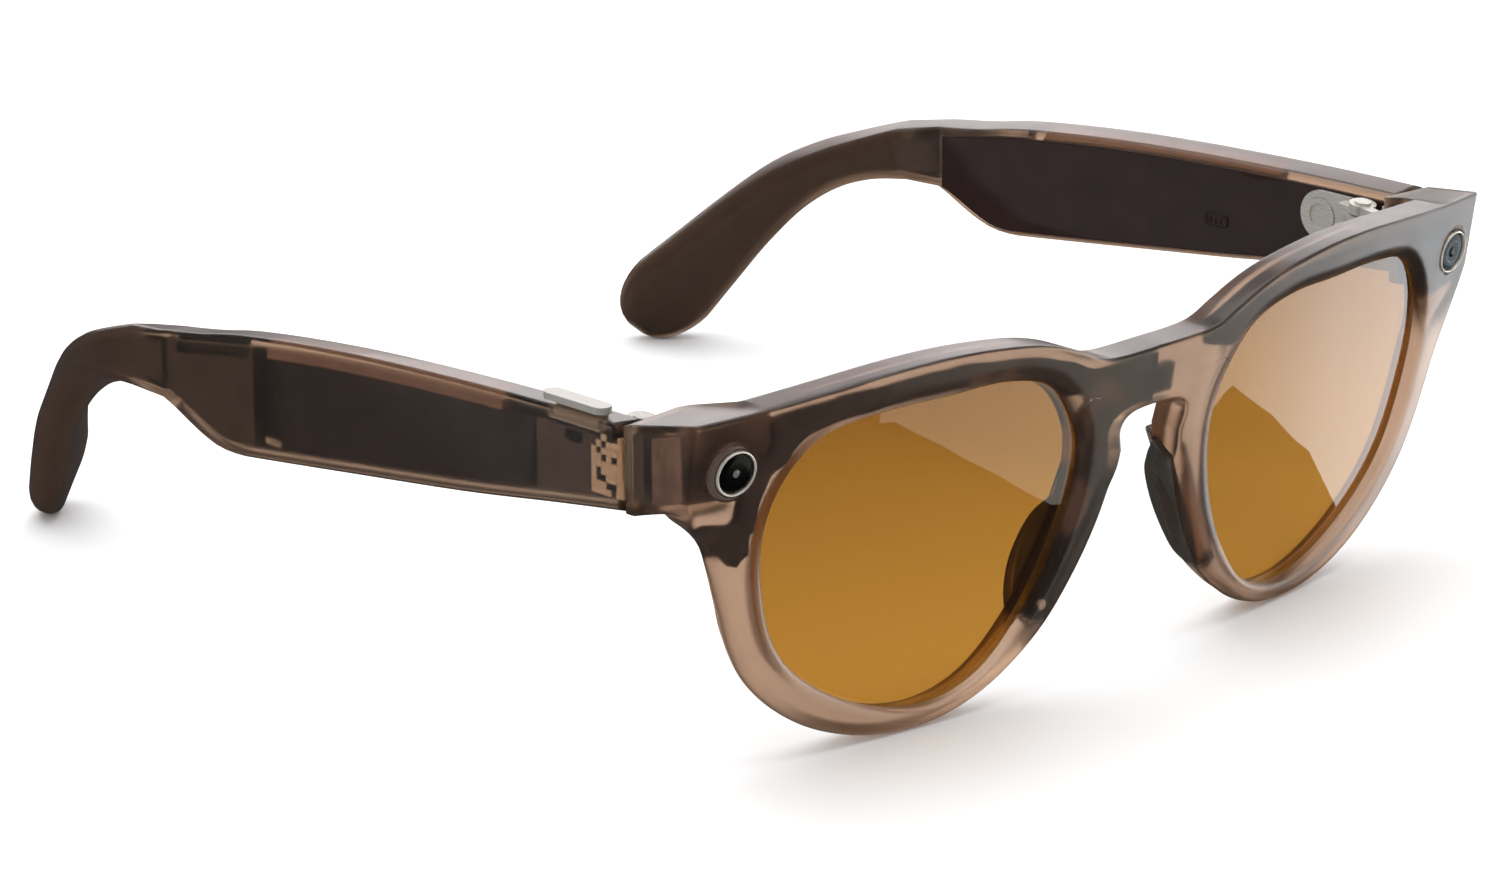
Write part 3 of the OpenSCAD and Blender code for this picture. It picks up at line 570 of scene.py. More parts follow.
def front_shell():
    """Points and faces of the whole front as one closed skin, welded on the middle plane."""
    grid = front_grid()
    edge_count = len(grid["edge_rows"][0])
    columns = len(grid["outer"])
    points = []
    rows = {}

    def add(key, places):
        rows[key] = list(range(len(points), len(points) + len(places)))
        points.extend(np.asarray(places).tolist())

    def front_row(p, drop):
        return np.stack([p[:, 0], front_y(p[:, 0], p[:, 1]) + drop, p[:, 1]], axis=1)

    def add_wall(kind, front_key, back_key, steps=5):
        """Rows between a front row and the back row behind it, with the given first and last rows."""
        front, back = (np.array([points[i] for i in rows[key]]) for key in (front_key, back_key))
        for k in range(1, steps):
            add((kind, k), front + (back - front) * k / steps)
        rows[(kind, 0)] = rows[front_key]
        rows[(kind, steps)] = rows[back_key]
        return [(rows[(kind, k)], rows[(kind, k + 1)]) for k in range(steps)]

    for i in range(EDGE_STEPS):
        drop = grid["edge_drops"][i]
        back = grid["back_edge_rows"][i]
        add(("front", i), front_row(grid["edge_rows"][i], drop))
        add(("back", i), back_places(back[:, 0], back[:, 1], drop))
    face_rows = grid["face_rows"]
    for k, (row, back, share) in enumerate(zip(face_rows, grid["back_rows"], grid["shares"])):
        lip = BEVEL_DEPTH * (1 - share) ** 4 * (0.55 + 0.45 * grid["bevel"] / BEVEL_W)
        back_share = 1 - k / (len(face_rows) - 1)
        back_drop = 0.9 * (1 - min(back_share / 0.2, 1.0)) ** 2
        add(("front", EDGE_STEPS + k), front_row(row, lip))
        add(("back", EDGE_STEPS + k), back_places(back[:, 0], back[:, 1], back_drop + 0 * back[:, 0]))
    last = EDGE_STEPS + len(face_rows) - 1
    faces = []
    for i in range(last):
        count = edge_count - 1 if i < EDGE_STEPS else columns
        for side in ("front", "back"):
            a, b = rows[(side, i)], rows[(side, i + 1)]
            for j in range(count):
                k = (j + 1) % columns
                faces.append((a[j], a[k], b[k], b[j]) if side == "front" else (a[j], b[j], b[k], a[k]))
    for a, b in add_wall("wall", ("front", 0), ("back", 0)):
        faces += [(a[j + 1], a[j], b[j], b[j + 1]) for j in range(edge_count - 1)]
    for a, b in add_wall("hole", ("front", last), ("back", last)):
        faces += [(a[j], a[(j + 1) % columns], b[(j + 1) % columns], b[j]) for j in range(columns)]
    return weld_mirrored(np.array(points), faces)


def weld_mirrored(points, faces):
    """Adds the mirror image and joins the two halves where they meet on the middle plane."""
    on_plane = np.abs(points[:, 0]) < 1e-6
    count = len(points)
    other = np.where(on_plane, np.arange(count), count + np.cumsum(~on_plane) - 1)
    extra = points[~on_plane] * np.array([-1, 1, 1])
    mirrored_faces = [tuple(int(other[i]) for i in reversed(f)) for f in faces]
    both = np.concatenate([points, extra])
    all_faces = list(faces) + mirrored_faces
    return both, outward(both, all_faces)


def make_front(m):
    points, faces = front_shell()
    shell = make_piece("front_shell", points, faces, m["smoke_plastic"], "front", "smoke_plastic")
    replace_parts(shell, "front_frame", "brow_cover")


def band_wobble(s, amount, seed):
    """A soft irregular run of offsets along distance s."""
    draw = np.random.default_rng(seed)
    waves = [(draw.uniform(0.5, 1.0) / k, draw.uniform(0, 2 * math.pi), 0.35 * k) for k in range(1, 6)]
    return amount * sum(a * np.sin(turn + rate * s) for a, turn, rate in waves) / 1.6


def module_columns(grid, side):
    """Columns of the front's grid that the brow's electronics run along: from the temple side over the
    brow, and on the wearer's right on down beside the nose."""
    x, z = grid["outer"][:, 0], grid["outer"][:, 1]
    count = len(x)
    if side == LEFT:
        return np.arange(6, int(np.argmax(x > 64)))[::2]
    temporal_end = int(np.argmax((x > 40) & (z < MODULE_TEMPORAL_Z)))
    nasal = np.where((x < 20) & (np.arange(count) > temporal_end) & (z > MODULE_NASAL_Z))[0]
    return np.array(list(range(nasal[0], count)) + list(range(temporal_end)))[::2]


def make_module(m, side):
    """The electronics in the brow: a thick sheet between the outer edge and the lens."""
    grid = front_grid()
    order = module_columns(grid, side)
    a = grid["outer"][order]
    b = grid["lens"][order]
    s = lengths(a)
    tail = np.minimum(ramp(s, 0, 3), ramp(s[-1] - s, 0, 3))
    gap = np.linalg.norm(b - a, axis=1)
    start = np.clip(1.15 + band_wobble(s, 0.25, 3 + side), 0.4, 2)
    start = np.where(np.abs(a[:, 0]) < 0.01, 0.12, start)
    past_window = ramp(a[:, 0], 59, 65) * ramp(a[:, 1], 33.5, 36)
    start = start + past_window * (0.66 * gap - start)
    start = start + (1 - tail) * (0.42 * gap - start)
    reach = gap * (0.80 + 0.08 * past_window + 0.02 * band_wobble(s, 1.0, 9 + side))
    reach = reach + (1 - tail) * (0.52 * gap - reach)
    away = (b - a) / gap[:, None]
    across = np.linspace(0, 1, MODULE_ROWS)
    rings = []
    for i in range(len(order)):
        run = a[i] + away[i] * (start[i] + (reach[i] - start[i]) * across)[:, None]
        face = front_y(run[:, 0], run[:, 1])
        near = np.stack([run[:, 0], face + MODULE_DEPTH, run[:, 1]], axis=1)
        far = np.stack([run[:, 0], face + MODULE_DEPTH + MODULE_T, run[:, 1]], axis=1)
        rings.append(np.concatenate([near, far[::-1]]))
    points, faces = loft(rings)
    return make_piece("brow_module_" + SIDES[side], points, faces, m["dark_module"], "front", "flex_film",
                      side)


def make_corner_carrier(m, side):
    """The mottled carrier behind a window, between the corner's outer wall and the brow's electronics."""
    outline = loop_curve([(61.2, 37.6), (63.2, 36.4), (69.4, 36.6), (69.8, 40.5), (69.6, 44.9),
                          (64.5, 45.6), (59.6, 46.1), (58.4, 43.2)], 4)
    make_slab("corner_carrier_" + SIDES[side], outline, (64.8, 41.0), behind_face(2.5), 1.2, 0.3,
              m["corner_carrier"], "front", "flex_film", side, steps=3, rows=4)


# panels on an endpiece's side: name, depths in y, and material
ENDPIECE_PANELS = [("panel", 3.9, 8.0, "endpiece_panel"), ("band", 9.1, 10.6, "window_collar")]


def make_endpiece_panels(m, side):
    """What shows through a corner's side wall: a grey brown panel and, nearer the seam, a dark band."""
    def to_side(y, z, d):
        return np.stack([70.0 + (y - 2.1) * 0.15 - d, y, z], axis=1)

    for name, y_low, y_high, material in ENDPIECE_PANELS:
        corners = np.array([(y_low, 36.6), (y_high, 35.6), (y_high, 43.8), (y_low, 44.8)])
        outline = np.concatenate([np.linspace(corners[i], corners[(i + 1) % 4], 7)[:-1] for i in range(4)])
        make_slab("endpiece_" + name + "_" + SIDES[side], outline, outline.mean(axis=0), to_side, 0.5, 0.1,
                  m[material], "front", "flex_film", side, steps=2, rows=2)


def make_microphone_port(m):
    """The pale dot of the microphone at the lower end of the band beside the nose."""
    circle = np.array([(math.cos(a), math.sin(a)) for a in np.linspace(0, 2 * math.pi, 25)[:-1]])
    outline = np.array(PORT_AT) + circle * (0.55, 0.7)
    make_slab("microphone_port", outline, PORT_AT, behind_face(1.2), 0.35, 0.1, m["microphone_port"],
              "front", "microphone_can", RIGHT, steps=2, rows=2)


def window_place(u, v, depth):
    """A place in the window's frame: u across, v up, depth behind the face."""
    x0, z0 = WINDOW
    y0 = front_y(x0, z0)
    across = np.array([math.cos(WINDOW_TURN), math.sin(WINDOW_TURN), 0])
    inward = np.array([-math.sin(WINDOW_TURN), math.cos(WINDOW_TURN), math.tan(LEAN)])
    inward /= np.linalg.norm(inward)
    up = np.cross(across, inward)
    depth = np.asarray(depth) - WINDOW_PROUD
    return np.array([x0, y0, z0]) + np.outer(u, across) + np.outer(v, up) + np.outer(depth, inward)


def turned_rows(profile, steps):
    """Copies of a profile of (radius, depth) points, turned about the window's axis."""
    r, d = np.array(profile, float).T
    turns = [2 * math.pi * k / steps for k in range(steps)]
    return np.concatenate([window_place(r * math.cos(a), r * math.sin(a), d) for a in turns])


def turned_ring(profile, steps=64):
    """A ring turned from a closed profile of (radius, depth) points, in the window's frame."""
    points = turned_rows(profile, steps)
    count = len(profile)
    faces = []
    for k in range(steps):
        n = (k + 1) % steps
        for j in range(count):
            i = (j + 1) % count
            faces.append((k * count + j, n * count + j, n * count + i, k * count + i))
    return points, outward(points, faces)


def turned_disc(profile, steps=64):
    """A turned body closed on its axis: profile from the axis out and back, as (radius, depth)."""
    ends = [window_place([0.0], [0.0], [profile[k][1]]) for k in (0, -1)]
    points = np.concatenate([turned_rows(profile[1:-1], steps)] + ends)
    count = len(profile) - 2
    top = steps * count
    bottom = top + 1
    faces = []
    for k in range(steps):
        a = k * count
        b = (k + 1) % steps * count
        faces += [(a + j, b + j, b + j + 1, a + j + 1) for j in range(count - 1)]
        faces.append((top, b, a))
        faces.append((bottom, a + count - 1, b + count - 1))
    return points, outward(points, faces)


def make_window(m, side):
    """The round window in a corner: a thin bright ring, its glass, what stands behind it, a dark collar. On
    the indicator, a grey disc at the glass is a painted highlight.
    """
    kind = "camera" if side == LEFT else "indicator"
    glass_kind = "camera_glass" if side == LEFT else "black_glass"

    def turned(name, body, material, slot):
        points, faces = body
        return make_piece(name, points, faces, m[material], "front", slot, side)

    r = WINDOW_R
    ring = [(r, 2.4), (r, -0.05), (r - 0.05, -0.16), (r - 0.14, -0.22), (r - 0.22, -0.17),
            (r - 0.27, -0.05), (r - 0.30, 0.5), (r - 0.30, 2.4)]
    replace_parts(turned(kind + "_bezel", turned_ring(ring), "bright_metal", "bright_metal"), kind + "_ring")
    glass_r = r - 0.31
    glass = [(0, 0.02), (glass_r * 0.5, 0.025), (glass_r * 0.85, 0.04), (glass_r, 0.10), (glass_r, 1.0),
             (glass_r * 0.5, 1.05), (0, 1.05)]
    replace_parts(turned(kind + "_glass", turned_disc(glass), glass_kind, glass_kind), kind + "_window")
    if side == LEFT:
        eye = [(1.55, 0.30), (1.55, -0.01), (1.45, -0.05), (1.30, -0.02), (1.25, 0.30)]
        turned("camera_eye", turned_ring(eye), "eye_ring", "charcoal_plastic")
        pupil = [(0, -0.06), (0.45, -0.04), (0.72, 0.0), (0.72, 0.2), (0, 0.2)]
        turned("camera_pupil", turned_disc(pupil, 40), "black_glass", "black_glass")
    else:
        # painted highlight: a grey disc at the face of the black glass
        spot = [(0, -0.03), (0.36, -0.02), (0.5, 0.01), (0.5, 0.2), (0, 0.2)]
        turned("indicator_painted_highlight", turned_disc(spot, 40), "indicator_painted_highlight", "light_guide")
    collar = [(r + 0.06, 2.3), (r + 0.06, 0.12), (r + 0.5, 0.22), (r + 0.95, 0.7), (r + 1.0, 2.3)]
    turned(kind + "_collar", turned_ring(collar), "window_collar", "charcoal_plastic")


def make_lens(m, side):
    name = SIDES[side]
    edge = loop_curve(LENS_EDGE, 8)
    edge = edge - left_normals(edge, closed=True) * LENS_IN_GROOVE
    lens = make_slab("tinted_lens_" + name, edge, LENS_FACE_MIDDLE, behind_face(LENS_BACK), LENS_T, 0.12,
                     m["amber_lens"], "front", "amber_lens", side, steps=3, rows=9)
    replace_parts(lens, "lens_" + name)


# ---------------------------------------------------------------- nose

NOSE_TURN = math.radians(24)
NOSE_AT = (7.9, 20.5)             # x and z of the flange's middle plane at its front edge
NOSE_FRONT, NOSE_BACK = -4.5, 4.8
NOSE_SPLAY = 2.9                  # how far the flange opens from its front to its rear edge
NOSE_FACE_X = 8                   # where across the face the flange's front edge follows it
PAD_SIDE = [(1.4, 25.5), (3.8, 22), (4.7, 16.5), (3.4, 11.3), (0.6, 9.9)]


def nose_place(y, z, out):
    """A place on the sloping nose flange: y is depth, z height, out the distance away from the nose."""
    splay = NOSE_SPLAY * (y - NOSE_FRONT) / (NOSE_BACK - NOSE_FRONT)
    x = NOSE_AT[0] - (z - NOSE_AT[1]) * math.tan(NOSE_TURN) + (out + splay) / math.cos(NOSE_TURN)
    return np.stack([x, y, z], axis=1)


def flange_outline(setback, grow):
    """Side outline (y, z): a rounded rear edge, and a front edge parallel to the front's face."""
    rear = open_curve([(-2.6 + setback, 28.2 + grow)] + PAD_SIDE + [(-1.6 + setback, 10.2 - grow)], 6)
    top, bottom = rear[0][1], rear[-1][1]
    upper_end = (front_y(NOSE_FACE_X, top) + setback, top - 1.6)
    lower_end = (front_y(NOSE_FACE_X, bottom) + setback, bottom)
    return np.concatenate([rear, np.linspace(lower_end, upper_end, 10)])


def make_nose(m, side):
    """The clear flange beside the nose and the soft pad let into it."""
    name = SIDES[side]

    def from_middle(gap):
        return lambda y, z, d: nose_place(y, z, d + gap)

    wing = flange_outline(FRONT_T - 1.2, 0.9)
    make_slab("nose_wing_" + name, wing, wing.mean(axis=0), from_middle(0.5), 2.3, 0.5, m["smoke_plastic"],
              "front", "smoke_plastic", side, steps=4, rows=4)
    inner = flange_outline(1.4, 0.0)
    pad = make_slab("soft_nose_pad_" + name, inner, inner.mean(axis=0), from_middle(-0.8), 1.6, 0.3,
                    m["olive_pad"], "front", "olive_pad", side, steps=4, rows=6, crown=0.08)
    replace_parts(pad, "nose_pad_" + name)


# ---------------------------------------------------------------- temples

def rounded_section(half_w, half_h, radii, steps=5):
    """Points round a rounded rectangle, anticlockwise from the lower right, as (across, up)."""
    corners = [(1, -1, 270), (1, 1, 0), (-1, 1, 90), (-1, -1, 180)]
    points = []
    for (sx, sy, start), r in zip(corners, radii):
        for k in range(steps + 1):
            a = math.radians(start + 90 * k / steps)
            points.append((sx * (half_w - r) + r * math.cos(a), sy * (half_h - r) + r * math.sin(a)))
    return np.array(points)


def temple_lines(ys, steps):
    """Heights of a temple's top and bottom lines at given depths."""
    return [np.interp(ys, *open_curve(line, steps).T) for line in (TEMPLE_TOP, TEMPLE_LOW)]


def temple_path():
    """Stations from the seam to the tip: centre, half height, half thickness, twist in degrees."""
    ys = np.concatenate([[SEAM_Y + 0.2], np.linspace(13, 96, TIP_START)])
    middle_x = (TEMPLE_OUT + TEMPLE_IN) / 2
    half_t = (TEMPLE_OUT - TEMPLE_IN) / 2
    stations = [(np.array([middle_x, y, (high + low) / 2]), (high - low) / 2, half_t, 0.0)
                for y, high, low in zip(ys, *temple_lines(ys, 16))]
    tip = open_curve(TIP_STATIONS, 5)
    stations += [(q[:3], q[3], q[4], q[5]) for q in tip]
    last = tip[-1]
    heading = last[:3] - tip[-4][:3]
    heading /= np.linalg.norm(heading)
    for k in range(1, TIP_END_STEPS + 1):
        a = math.radians(87) * k / TIP_END_STEPS
        stations.append((last[:3] + heading * TIP_END * math.sin(a), last[3] * math.cos(a) ** 0.8,
                         last[4] * math.cos(a) ** 0.6, last[5]))
    return stations


def temple_frames(stations):
    """Up and out directions at each station, square to the path and turned by the twist."""
    heading = np.gradient(np.array([s[0] for s in stations]), axis=0)
    heading = softened(heading / np.linalg.norm(heading, axis=1, keepdims=True), 6, closed=False)
    frames = []
    for d, s in zip(heading, stations):
        across = np.cross(d, (1, 0, 0))
        across /= np.linalg.norm(across)
        out = np.cross(across, d)
        turn = math.radians(s[3])
        down = across * math.cos(turn) + out * math.sin(turn)
        frames.append((-down, out * math.cos(turn) - across * math.sin(turn)))
    return frames


def temple_rings(draw_in=0.0, first=0, last=None):
    """Sections along a temple, each drawn in all round by draw_in."""
    stations = temple_path()
    rings = []
    for s, (up, out) in list(zip(stations, temple_frames(stations)))[first:last]:
        centre, half_h, half_t = s[0], s[1] - draw_in, s[2] - draw_in
        soft = float(ramp(centre[1], 92, 112))
        widest = min(half_h, half_t) * 0.98
        end = float(ramp(centre[1], 112, 134))
        radii = [min(r, widest) for r in (0.7 + 0.9 * soft + 0.7 * end, 0.5 + 1.0 * soft + 0.8 * end,
                                          0.8 + 0.7 * soft + 0.8 * end, 0.6 + 0.9 * soft + 0.8 * end)]
        section = rounded_section(half_t, half_h, radii)
        inner_top = np.clip(section[:, 1] / half_h, 0, 1) * np.clip(-section[:, 0] / half_t, 0, 1)
        lean_in = -0.55 * (1 - soft) * inner_top
        rings.append(centre + section[:, :1] * out + (section[:, 1:] + lean_in[:, None]) * up)
    return rings


def make_temple(m, side):
    """The clear arm of a temple, the dark core of its tip and its inner cover."""
    name = SIDES[side]
    body = "temple_" + name
    parts = [("temple_arm_", loft(temple_rings()), "smoke_plastic", "temple_shell_"),
             ("tip_filling_", loft(temple_rings(1.0, TIP_START, -2)), "tip_core", "tip_core_")]
    for kind, (points, faces), material, node in parts:
        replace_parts(make_piece(kind + name, points, faces, m[material], body, material, side), node + name)
    outline = temple_panel(13.4, 94.6, 1.6, 0.6, 70)
    cover = make_slab("inner_cover_" + name, outline, (56, 35), beside(TEMPLE_IN - 0.12, 1), 1.0, 0.2,
                      m["inner_cover"], body, "inner_cover", side, steps=3, rows=2)
    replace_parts(cover, "temple_cover_" + name)


def box_faces(offset):
    """Faces of a box whose eight points are stored low face first, both anticlockwise seen from above."""
    quads = [(3, 2, 1, 0), (4, 5, 6, 7), (0, 1, 5, 4), (1, 2, 6, 5), (2, 3, 7, 6), (3, 0, 4, 7)]
    return [tuple(offset + i for i in q) for q in quads]


def boxes(places):
    """Points and faces of separate boxes, each given by its low and high corner."""
    points, faces = [], []
    for (x0, y0, z0), (x1, y1, z1) in places:
        faces += box_faces(len(points))
        points += [(x0, y0, z0), (x1, y0, z0), (x1, y1, z0), (x0, y1, z0),
                   (x0, y0, z1), (x1, y0, z1), (x1, y1, z1), (x0, y1, z1)]
    return points, faces


def temple_panel(y_low, y_high, top_gap, low_gap, count=40, slant=0.0):
    """Side outline (y, z) between two depths, drawn in from the temple's top and bottom lines."""
    ys = np.linspace(y_low, y_high, count)
    high, base = temple_lines(ys, 8)
    lower = np.stack([ys + slant * (1 - (ys - y_low) / (y_high - y_low)), base + low_gap], axis=1)
    return np.concatenate([lower, np.stack([ys, high - top_gap], axis=1)[::-1]])


OUTER_FACE = TEMPLE_OUT - 1.3     # the inside of a temple's outer wall
SLIDER_AT = (43.2, 35.0)          # y and z of the middle of the power slider
SLIDER_L, SLIDER_W = 4.0, 1.8
SLIDER_FACE = TEMPLE_IN - 0.3
FILM_FACE = TEMPLE_OUT - 0.5      # outer face of the antenna film
CELL = 0.82                       # size of one square of the antenna's pattern


def make_touch_panel(m):
    """The dark touch panel and the lighter carrier in front of it, seen through the outer wall."""
    parts = [("touch_panel", temple_panel(27.0, 73.5, 2.6, 1.3, slant=1.5), 0.9, 0.12, 3, "panel_block"),
             ("antenna_carrier", temple_panel(16.2, 26.8, 2.3, 1.3, 16), 0.7, 0.1, 2, "panel_carrier")]
    panel, _ = [make_slab(name, outline, outline.mean(axis=0), beside(OUTER_FACE, -1), thickness, edge,
                          m[material], "temple_right", "charcoal_plastic", RIGHT, steps=steps, rows=2)
                for name, outline, thickness, edge, steps, material in parts]
    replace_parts(panel, "touch_sensor")


def make_antenna(m):
    """The antenna behind the seam: tan squares, some left out at random, over a dark backing."""
    draw = np.random.default_rng(11)
    cells = []
    for i in range(6):
        for j in range(9):
            kept = draw.random() < 0.66 or i == 0
            under_button = i >= 4 and j >= 8
            if kept and not under_button:
                y = 12.1 + i * CELL
                z = 35.6 + j * CELL
                grow = CELL * draw.uniform(0.94, 1.0)
                face = FILM_FACE - draw.uniform(0.0, 0.1)
                cells.append(((FILM_FACE - 0.5, y, z), (face, y + grow, z + grow)))
    backing = [((OUTER_FACE - 1.1, 12.0, 35.3), (OUTER_FACE - 0.6, 15.7, 42.2))]
    film = make_piece("antenna_film", *boxes(cells), m["tan_film"], "temple_right", "copper_trace", RIGHT,
                      flat=True)
    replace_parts(film, "antenna")
    make_piece("antenna_backing", *boxes(backing), m["panel_block"], "temple_right", "charcoal_plastic",
               RIGHT, flat=True)


def make_slider_thumb(m):
    """The thumb piece of the power slider: a rounded plate with three short grip ribs."""
    y0, z0 = SLIDER_AT
    outline = rounded_section(SLIDER_L / 2, SLIDER_W / 2, (0.5,) * 4, 3) + SLIDER_AT
    points, faces = slab(outline, SLIDER_AT, beside(SLIDER_FACE, 1), 1.4, 0.12, steps=3, rows=2)
    ribs, rib_faces = boxes([((SLIDER_FACE - 0.04, y0 + step - 0.12, z0 - 0.45),
                              (SLIDER_FACE + 0.2, y0 + step + 0.12, z0 + 0.45)) for step in (-0.9, 0, 0.9)])
    faces = list(faces) + [tuple(len(points) + i for i in f) for f in rib_faces]
    thumb = make_piece("slider_thumb", np.concatenate([points, ribs]), faces, m["inner_cover"],
                       "power_slider", "inner_cover")
    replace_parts(thumb, "power_slider")


# ---------------------------------------------------------------- CAD pieces that stay

def both(*names):
    """Names of nodes that occur on the right and on the left."""
    return [name + "_" + side for name in names for side in SIDES.values()]


CAD_FINISH = {
    "hinge_metal": both("hinge_front_leaf", "hinge_pin", "hinge_rear_leaf", "hinge_disc"),
    "charcoal_plastic": ["camera_module", "charging_contact_carrier"],
    "tip_core": both("speaker"),
    "light_guide": ["indicator_light"],
    "circuit_board": ["camera_board", "indicator_board", "main_board", "battery_board"],
    "microphone_can": ["nose_microphone"] + both("temple_microphone"),
    "gold_contact": ["charging_contacts"],
    "grille": both("speaker_grille"),
    "tan_bracket": both("top_bracket"),
    "shield_can": ["processor_shield"],
    "button_metal": ["capture_button"],
    "battery_wrap": ["battery"],
    "switch_body": ["power_switch", "capture_switch"],
    "status_lens": ["status_light"],
}


def finish_cad_nodes(m):
    for material, names in CAD_FINISH.items():
        for name in names:
            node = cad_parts[name]
            if node.hide_render:
                continue
            node.data.materials.clear()
            node.data.materials.append(m[material])
            bevel = node.modifiers.new("edges", "BEVEL")
            bevel.width = 0.00008
            bevel.segments = 2
            bevel.limit_method = "ANGLE"
            bevel.angle_limit = math.radians(40)


# ---------------------------------------------------------------- stage, lights and camera

TARGET = Vector((0.0, -0.003947, 0.014419))
CAMERA_AZIMUTH = math.radians(-44.385)
CAMERA_ELEVATION = math.radians(17.935)
CAMERA_ROLL = math.radians(-0.226)
CAMERA_DISTANCE = 0.780
CAMERA_LENS = 143.206


def make_camera():
    a, e = CAMERA_AZIMUTH, CAMERA_ELEVATION
    back = Vector((math.sin(a) * math.cos(e), -math.cos(a) * math.cos(e), math.sin(e)))
    right = Vector((math.cos(a), math.sin(a), 0))
    up = back.cross(right)
    turn = Matrix((right, up, back)).transposed().to_4x4() @ Matrix.Rotation(CAMERA_ROLL, 4, "Z")
    data = bpy.data.cameras.new("camera")
    data.lens = CAMERA_LENS
    data.sensor_width = 36
    data.clip_start = 0.01
    data.clip_end = 100
    camera = bpy.data.objects.new("camera", data)
    camera.matrix_world = Matrix.Translation(TARGET + back * CAMERA_DISTANCE) @ turn
    bpy.context.scene.collection.objects.link(camera)
    bpy.context.scene.camera = camera


def overhead_light(place, size, power):
    """A square softbox above, aimed at the origin."""
    data = bpy.data.lights.new("overhead", "AREA")
    data.shape = "RECTANGLE"
    data.size = size
    data.size_y = size
    data.energy = power
    light = bpy.data.objects.new("overhead", data)
    light.location = place
    light.rotation_euler = (-Vector(place)).to_track_quat("-Z", "Y").to_euler()
    light.visible_camera = False
    bpy.context.scene.collection.objects.link(light)


def plain_mesh(name, points, faces):
    """An object of a few faces, in the scene's collection."""
    mesh = bpy.data.meshes.new(name)
    mesh.from_pydata([tuple(p) for p in points], [], faces)
    made = bpy.data.objects.new(name, mesh)
    bpy.context.scene.collection.objects.link(made)
    return made


def glowing_card(name, low, high, near, far, near_colour=(1, 1, 1), far_colour=(1, 1, 1)):
    """A softbox seen only in reflections, between a low and a high edge of equal point counts.
    Its light is near up to the middle points and changes to far over the next ones."""
    count = len(low)
    faces = [(i, i + 1, count + i + 1, count + i) for i in range(count - 1)]
    card = plain_mesh(name, list(low) + list(high), faces)
    layer = card.data.uv_layers.new(name="run")
    for corner, place in zip(card.data.loops, layer.data):
        place.uv = ((corner.vertex_index % count) / (count - 1), corner.vertex_index // count)
    material = bpy.data.materials.new(name)
    material.use_nodes = True
    tree = material.node_tree
    tree.nodes.clear()
    run = add_node(tree, "SeparateXYZ", {"Vector": add_node(tree, "UVMap").outputs["UV"]}).outputs["X"]
    share = add_node(tree, "MapRange", {"Value": run, "From Min": 0.5, "From Max": 0.8}).outputs["Result"]
    level = add_node(tree, "MapRange", {"Value": share, "To Min": near, "To Max": far}).outputs["Result"]
    colour = add_mix(tree, share, near_colour, far_colour)
    glow = add_node(tree, "Emission", {"Color": colour, "Strength": level})
    add_node(tree, "OutputMaterial", {"Surface": glow.outputs["Emission"]})
    card.data.materials.append(material)
    card.visible_camera = False
    card.visible_diffuse = False
    card.visible_transmission = False
    card.visible_shadow = False


def make_world():
    """White all round for what is seen and lit, and dark grey for what gloss mirrors."""
    world = bpy.data.worlds.new("studio")
    bpy.context.scene.world = world
    world.use_nodes = True
    tree = world.node_tree
    tree.nodes.clear()
    path = add_node(tree, "LightPath").outputs
    mirrored = add_node(tree, "Math", {0: path["Is Glossy Ray"], 1: path["Is Transmission Ray"]},
                        operation="SUBTRACT", use_clamp=True)
    white = add_node(tree, "Background", {"Strength": 1.0})
    dim = add_node(tree, "Background", {"Color": (0.90, 0.92, 1.0, 1), "Strength": 0.055})
    mix = add_node(tree, "MixShader", {0: mirrored.outputs[0], 1: white.outputs[0], 2: dim.outputs[0]})
    add_node(tree, "OutputWorld", {"Surface": mix.outputs[0]})


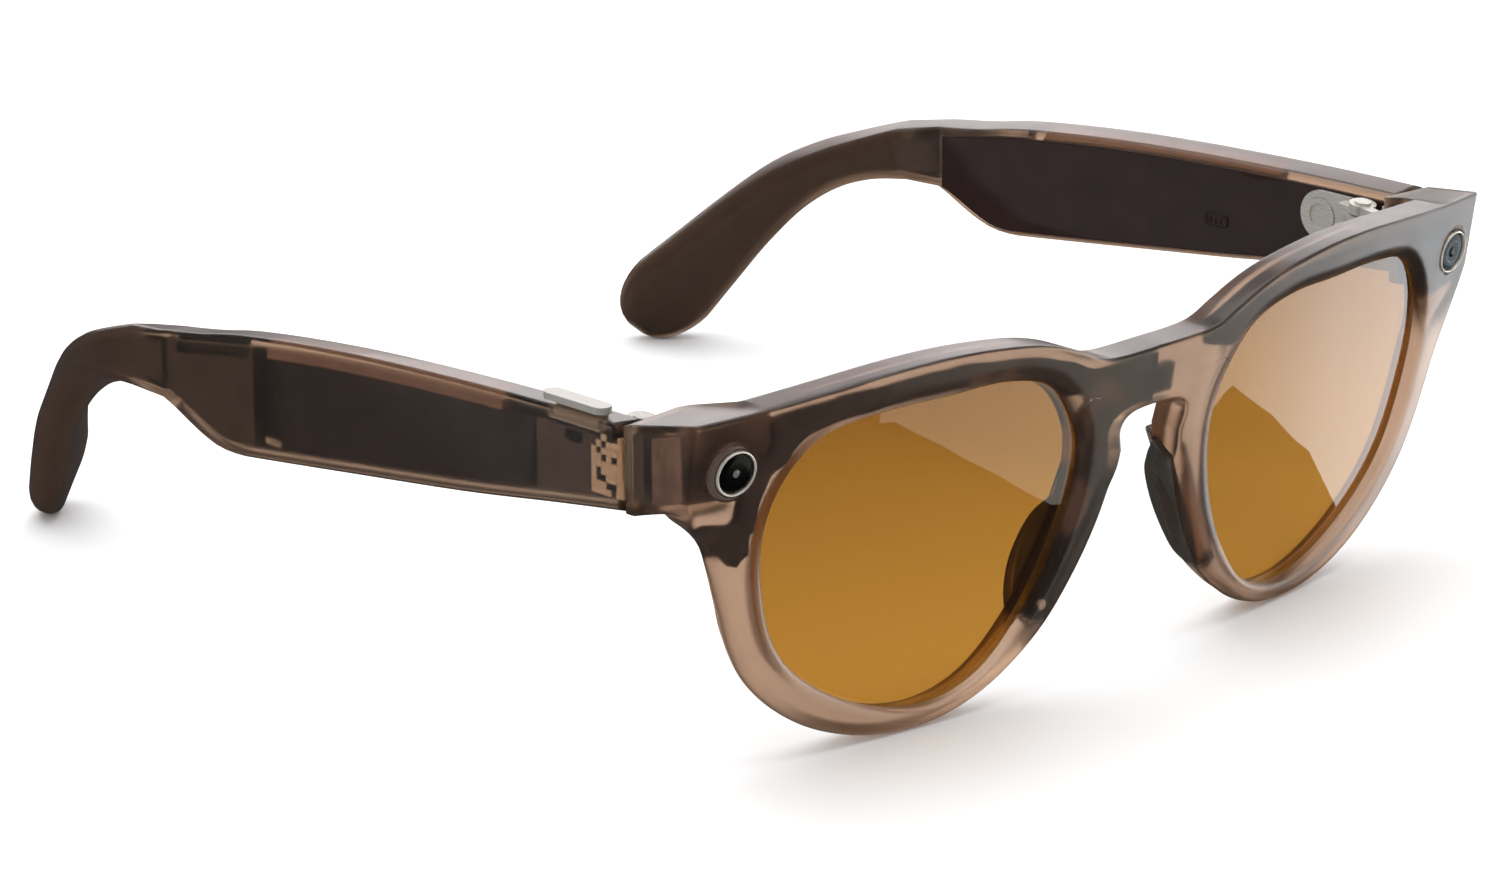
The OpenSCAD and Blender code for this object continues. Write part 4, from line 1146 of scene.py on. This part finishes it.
def make_floor():
    half = 6.0
    corners = [(-half, -half, 0), (half, -half, 0), (half, half, 0), (-half, half, 0)]
    floor = plain_mesh("floor", corners, [(0, 1, 2, 3)])
    paint = Paint("floor_white", Roughness=0.6, Specular_IOR_Level=0.2)
    paint.feed("Base Color", paint.blend(paint.noise(3), (0.97, 0.97, 0.97), (0.985, 0.985, 0.985)))
    floor.data.materials.append(paint.material)
    floor.visible_glossy = False


CARD_REACH = 1.22
# Lower edge of the front softbox: degrees round from straight ahead, and height over reach.
FRONT_CARD_EDGE = ((20, -0.2), (26.8, -0.3), (27.7, -0.4773), (33.0, -0.4785), (38.5, -0.4788),
                   (44.8, -0.4768), (59.4, -0.4194), (64.0, -0.4164), (69.3, -0.4138), (73.4, -0.4170),
                   (90, -0.43))


def round_about(azimuth, height):
    """A place on a drum round the glasses: azimuth in degrees from straight ahead towards +X,
    height as a share of the reach from the middle."""
    a = math.radians(azimuth)
    flat = math.sqrt(1 - height * height)
    return Vector((math.sin(a) * flat, -math.cos(a) * flat, height)) * CARD_REACH


def make_stage():
    make_world()
    make_floor()
    overhead_light((0.1, 0.2, 1.6), 2.2, 26.0)
    low = [round_about(azimuth, height) for azimuth, height in FRONT_CARD_EDGE]
    glowing_card("front_softbox", low, [p + Vector((0, 0, 0.9)) for p in low], 1.6, 2.9, (1, 0.97, 0.86),
                 (0.93, 0.97, 1))
    low = [round_about(azimuth, 0.10) for azimuth in (165, 150, 136, 120, 105, 90)]
    glowing_card("rear_softbox", low, [p + Vector((0, 0, 0.55)) for p in low], 2.1, 2.1, (1, 0.95, 0.96))
    low = [round_about(azimuth, -0.43) for azimuth in (234, 245, 255)]
    high = [round_about(azimuth, -0.15) for azimuth in (218.7, 245, 255)]
    glowing_card("side_softbox", low, high, 0.8, 0.8)


make_camera()
materials = make_materials()
make_front(materials)
modules = [make_module(materials, side) for side in (RIGHT, LEFT)]
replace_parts(modules[0], "front_flex")
make_touch_panel(materials)
make_antenna(materials)
make_slider_thumb(materials)
make_microphone_port(materials)
for side in (RIGHT, LEFT):
    make_corner_carrier(materials, side)
    make_endpiece_panels(materials, side)
    make_window(materials, side)
    make_lens(materials, side)
    make_nose(materials, side)
    make_temple(materials, side)
finish_cad_nodes(materials)
make_stage()
bpy.context.scene.view_settings.view_transform = "Standard"
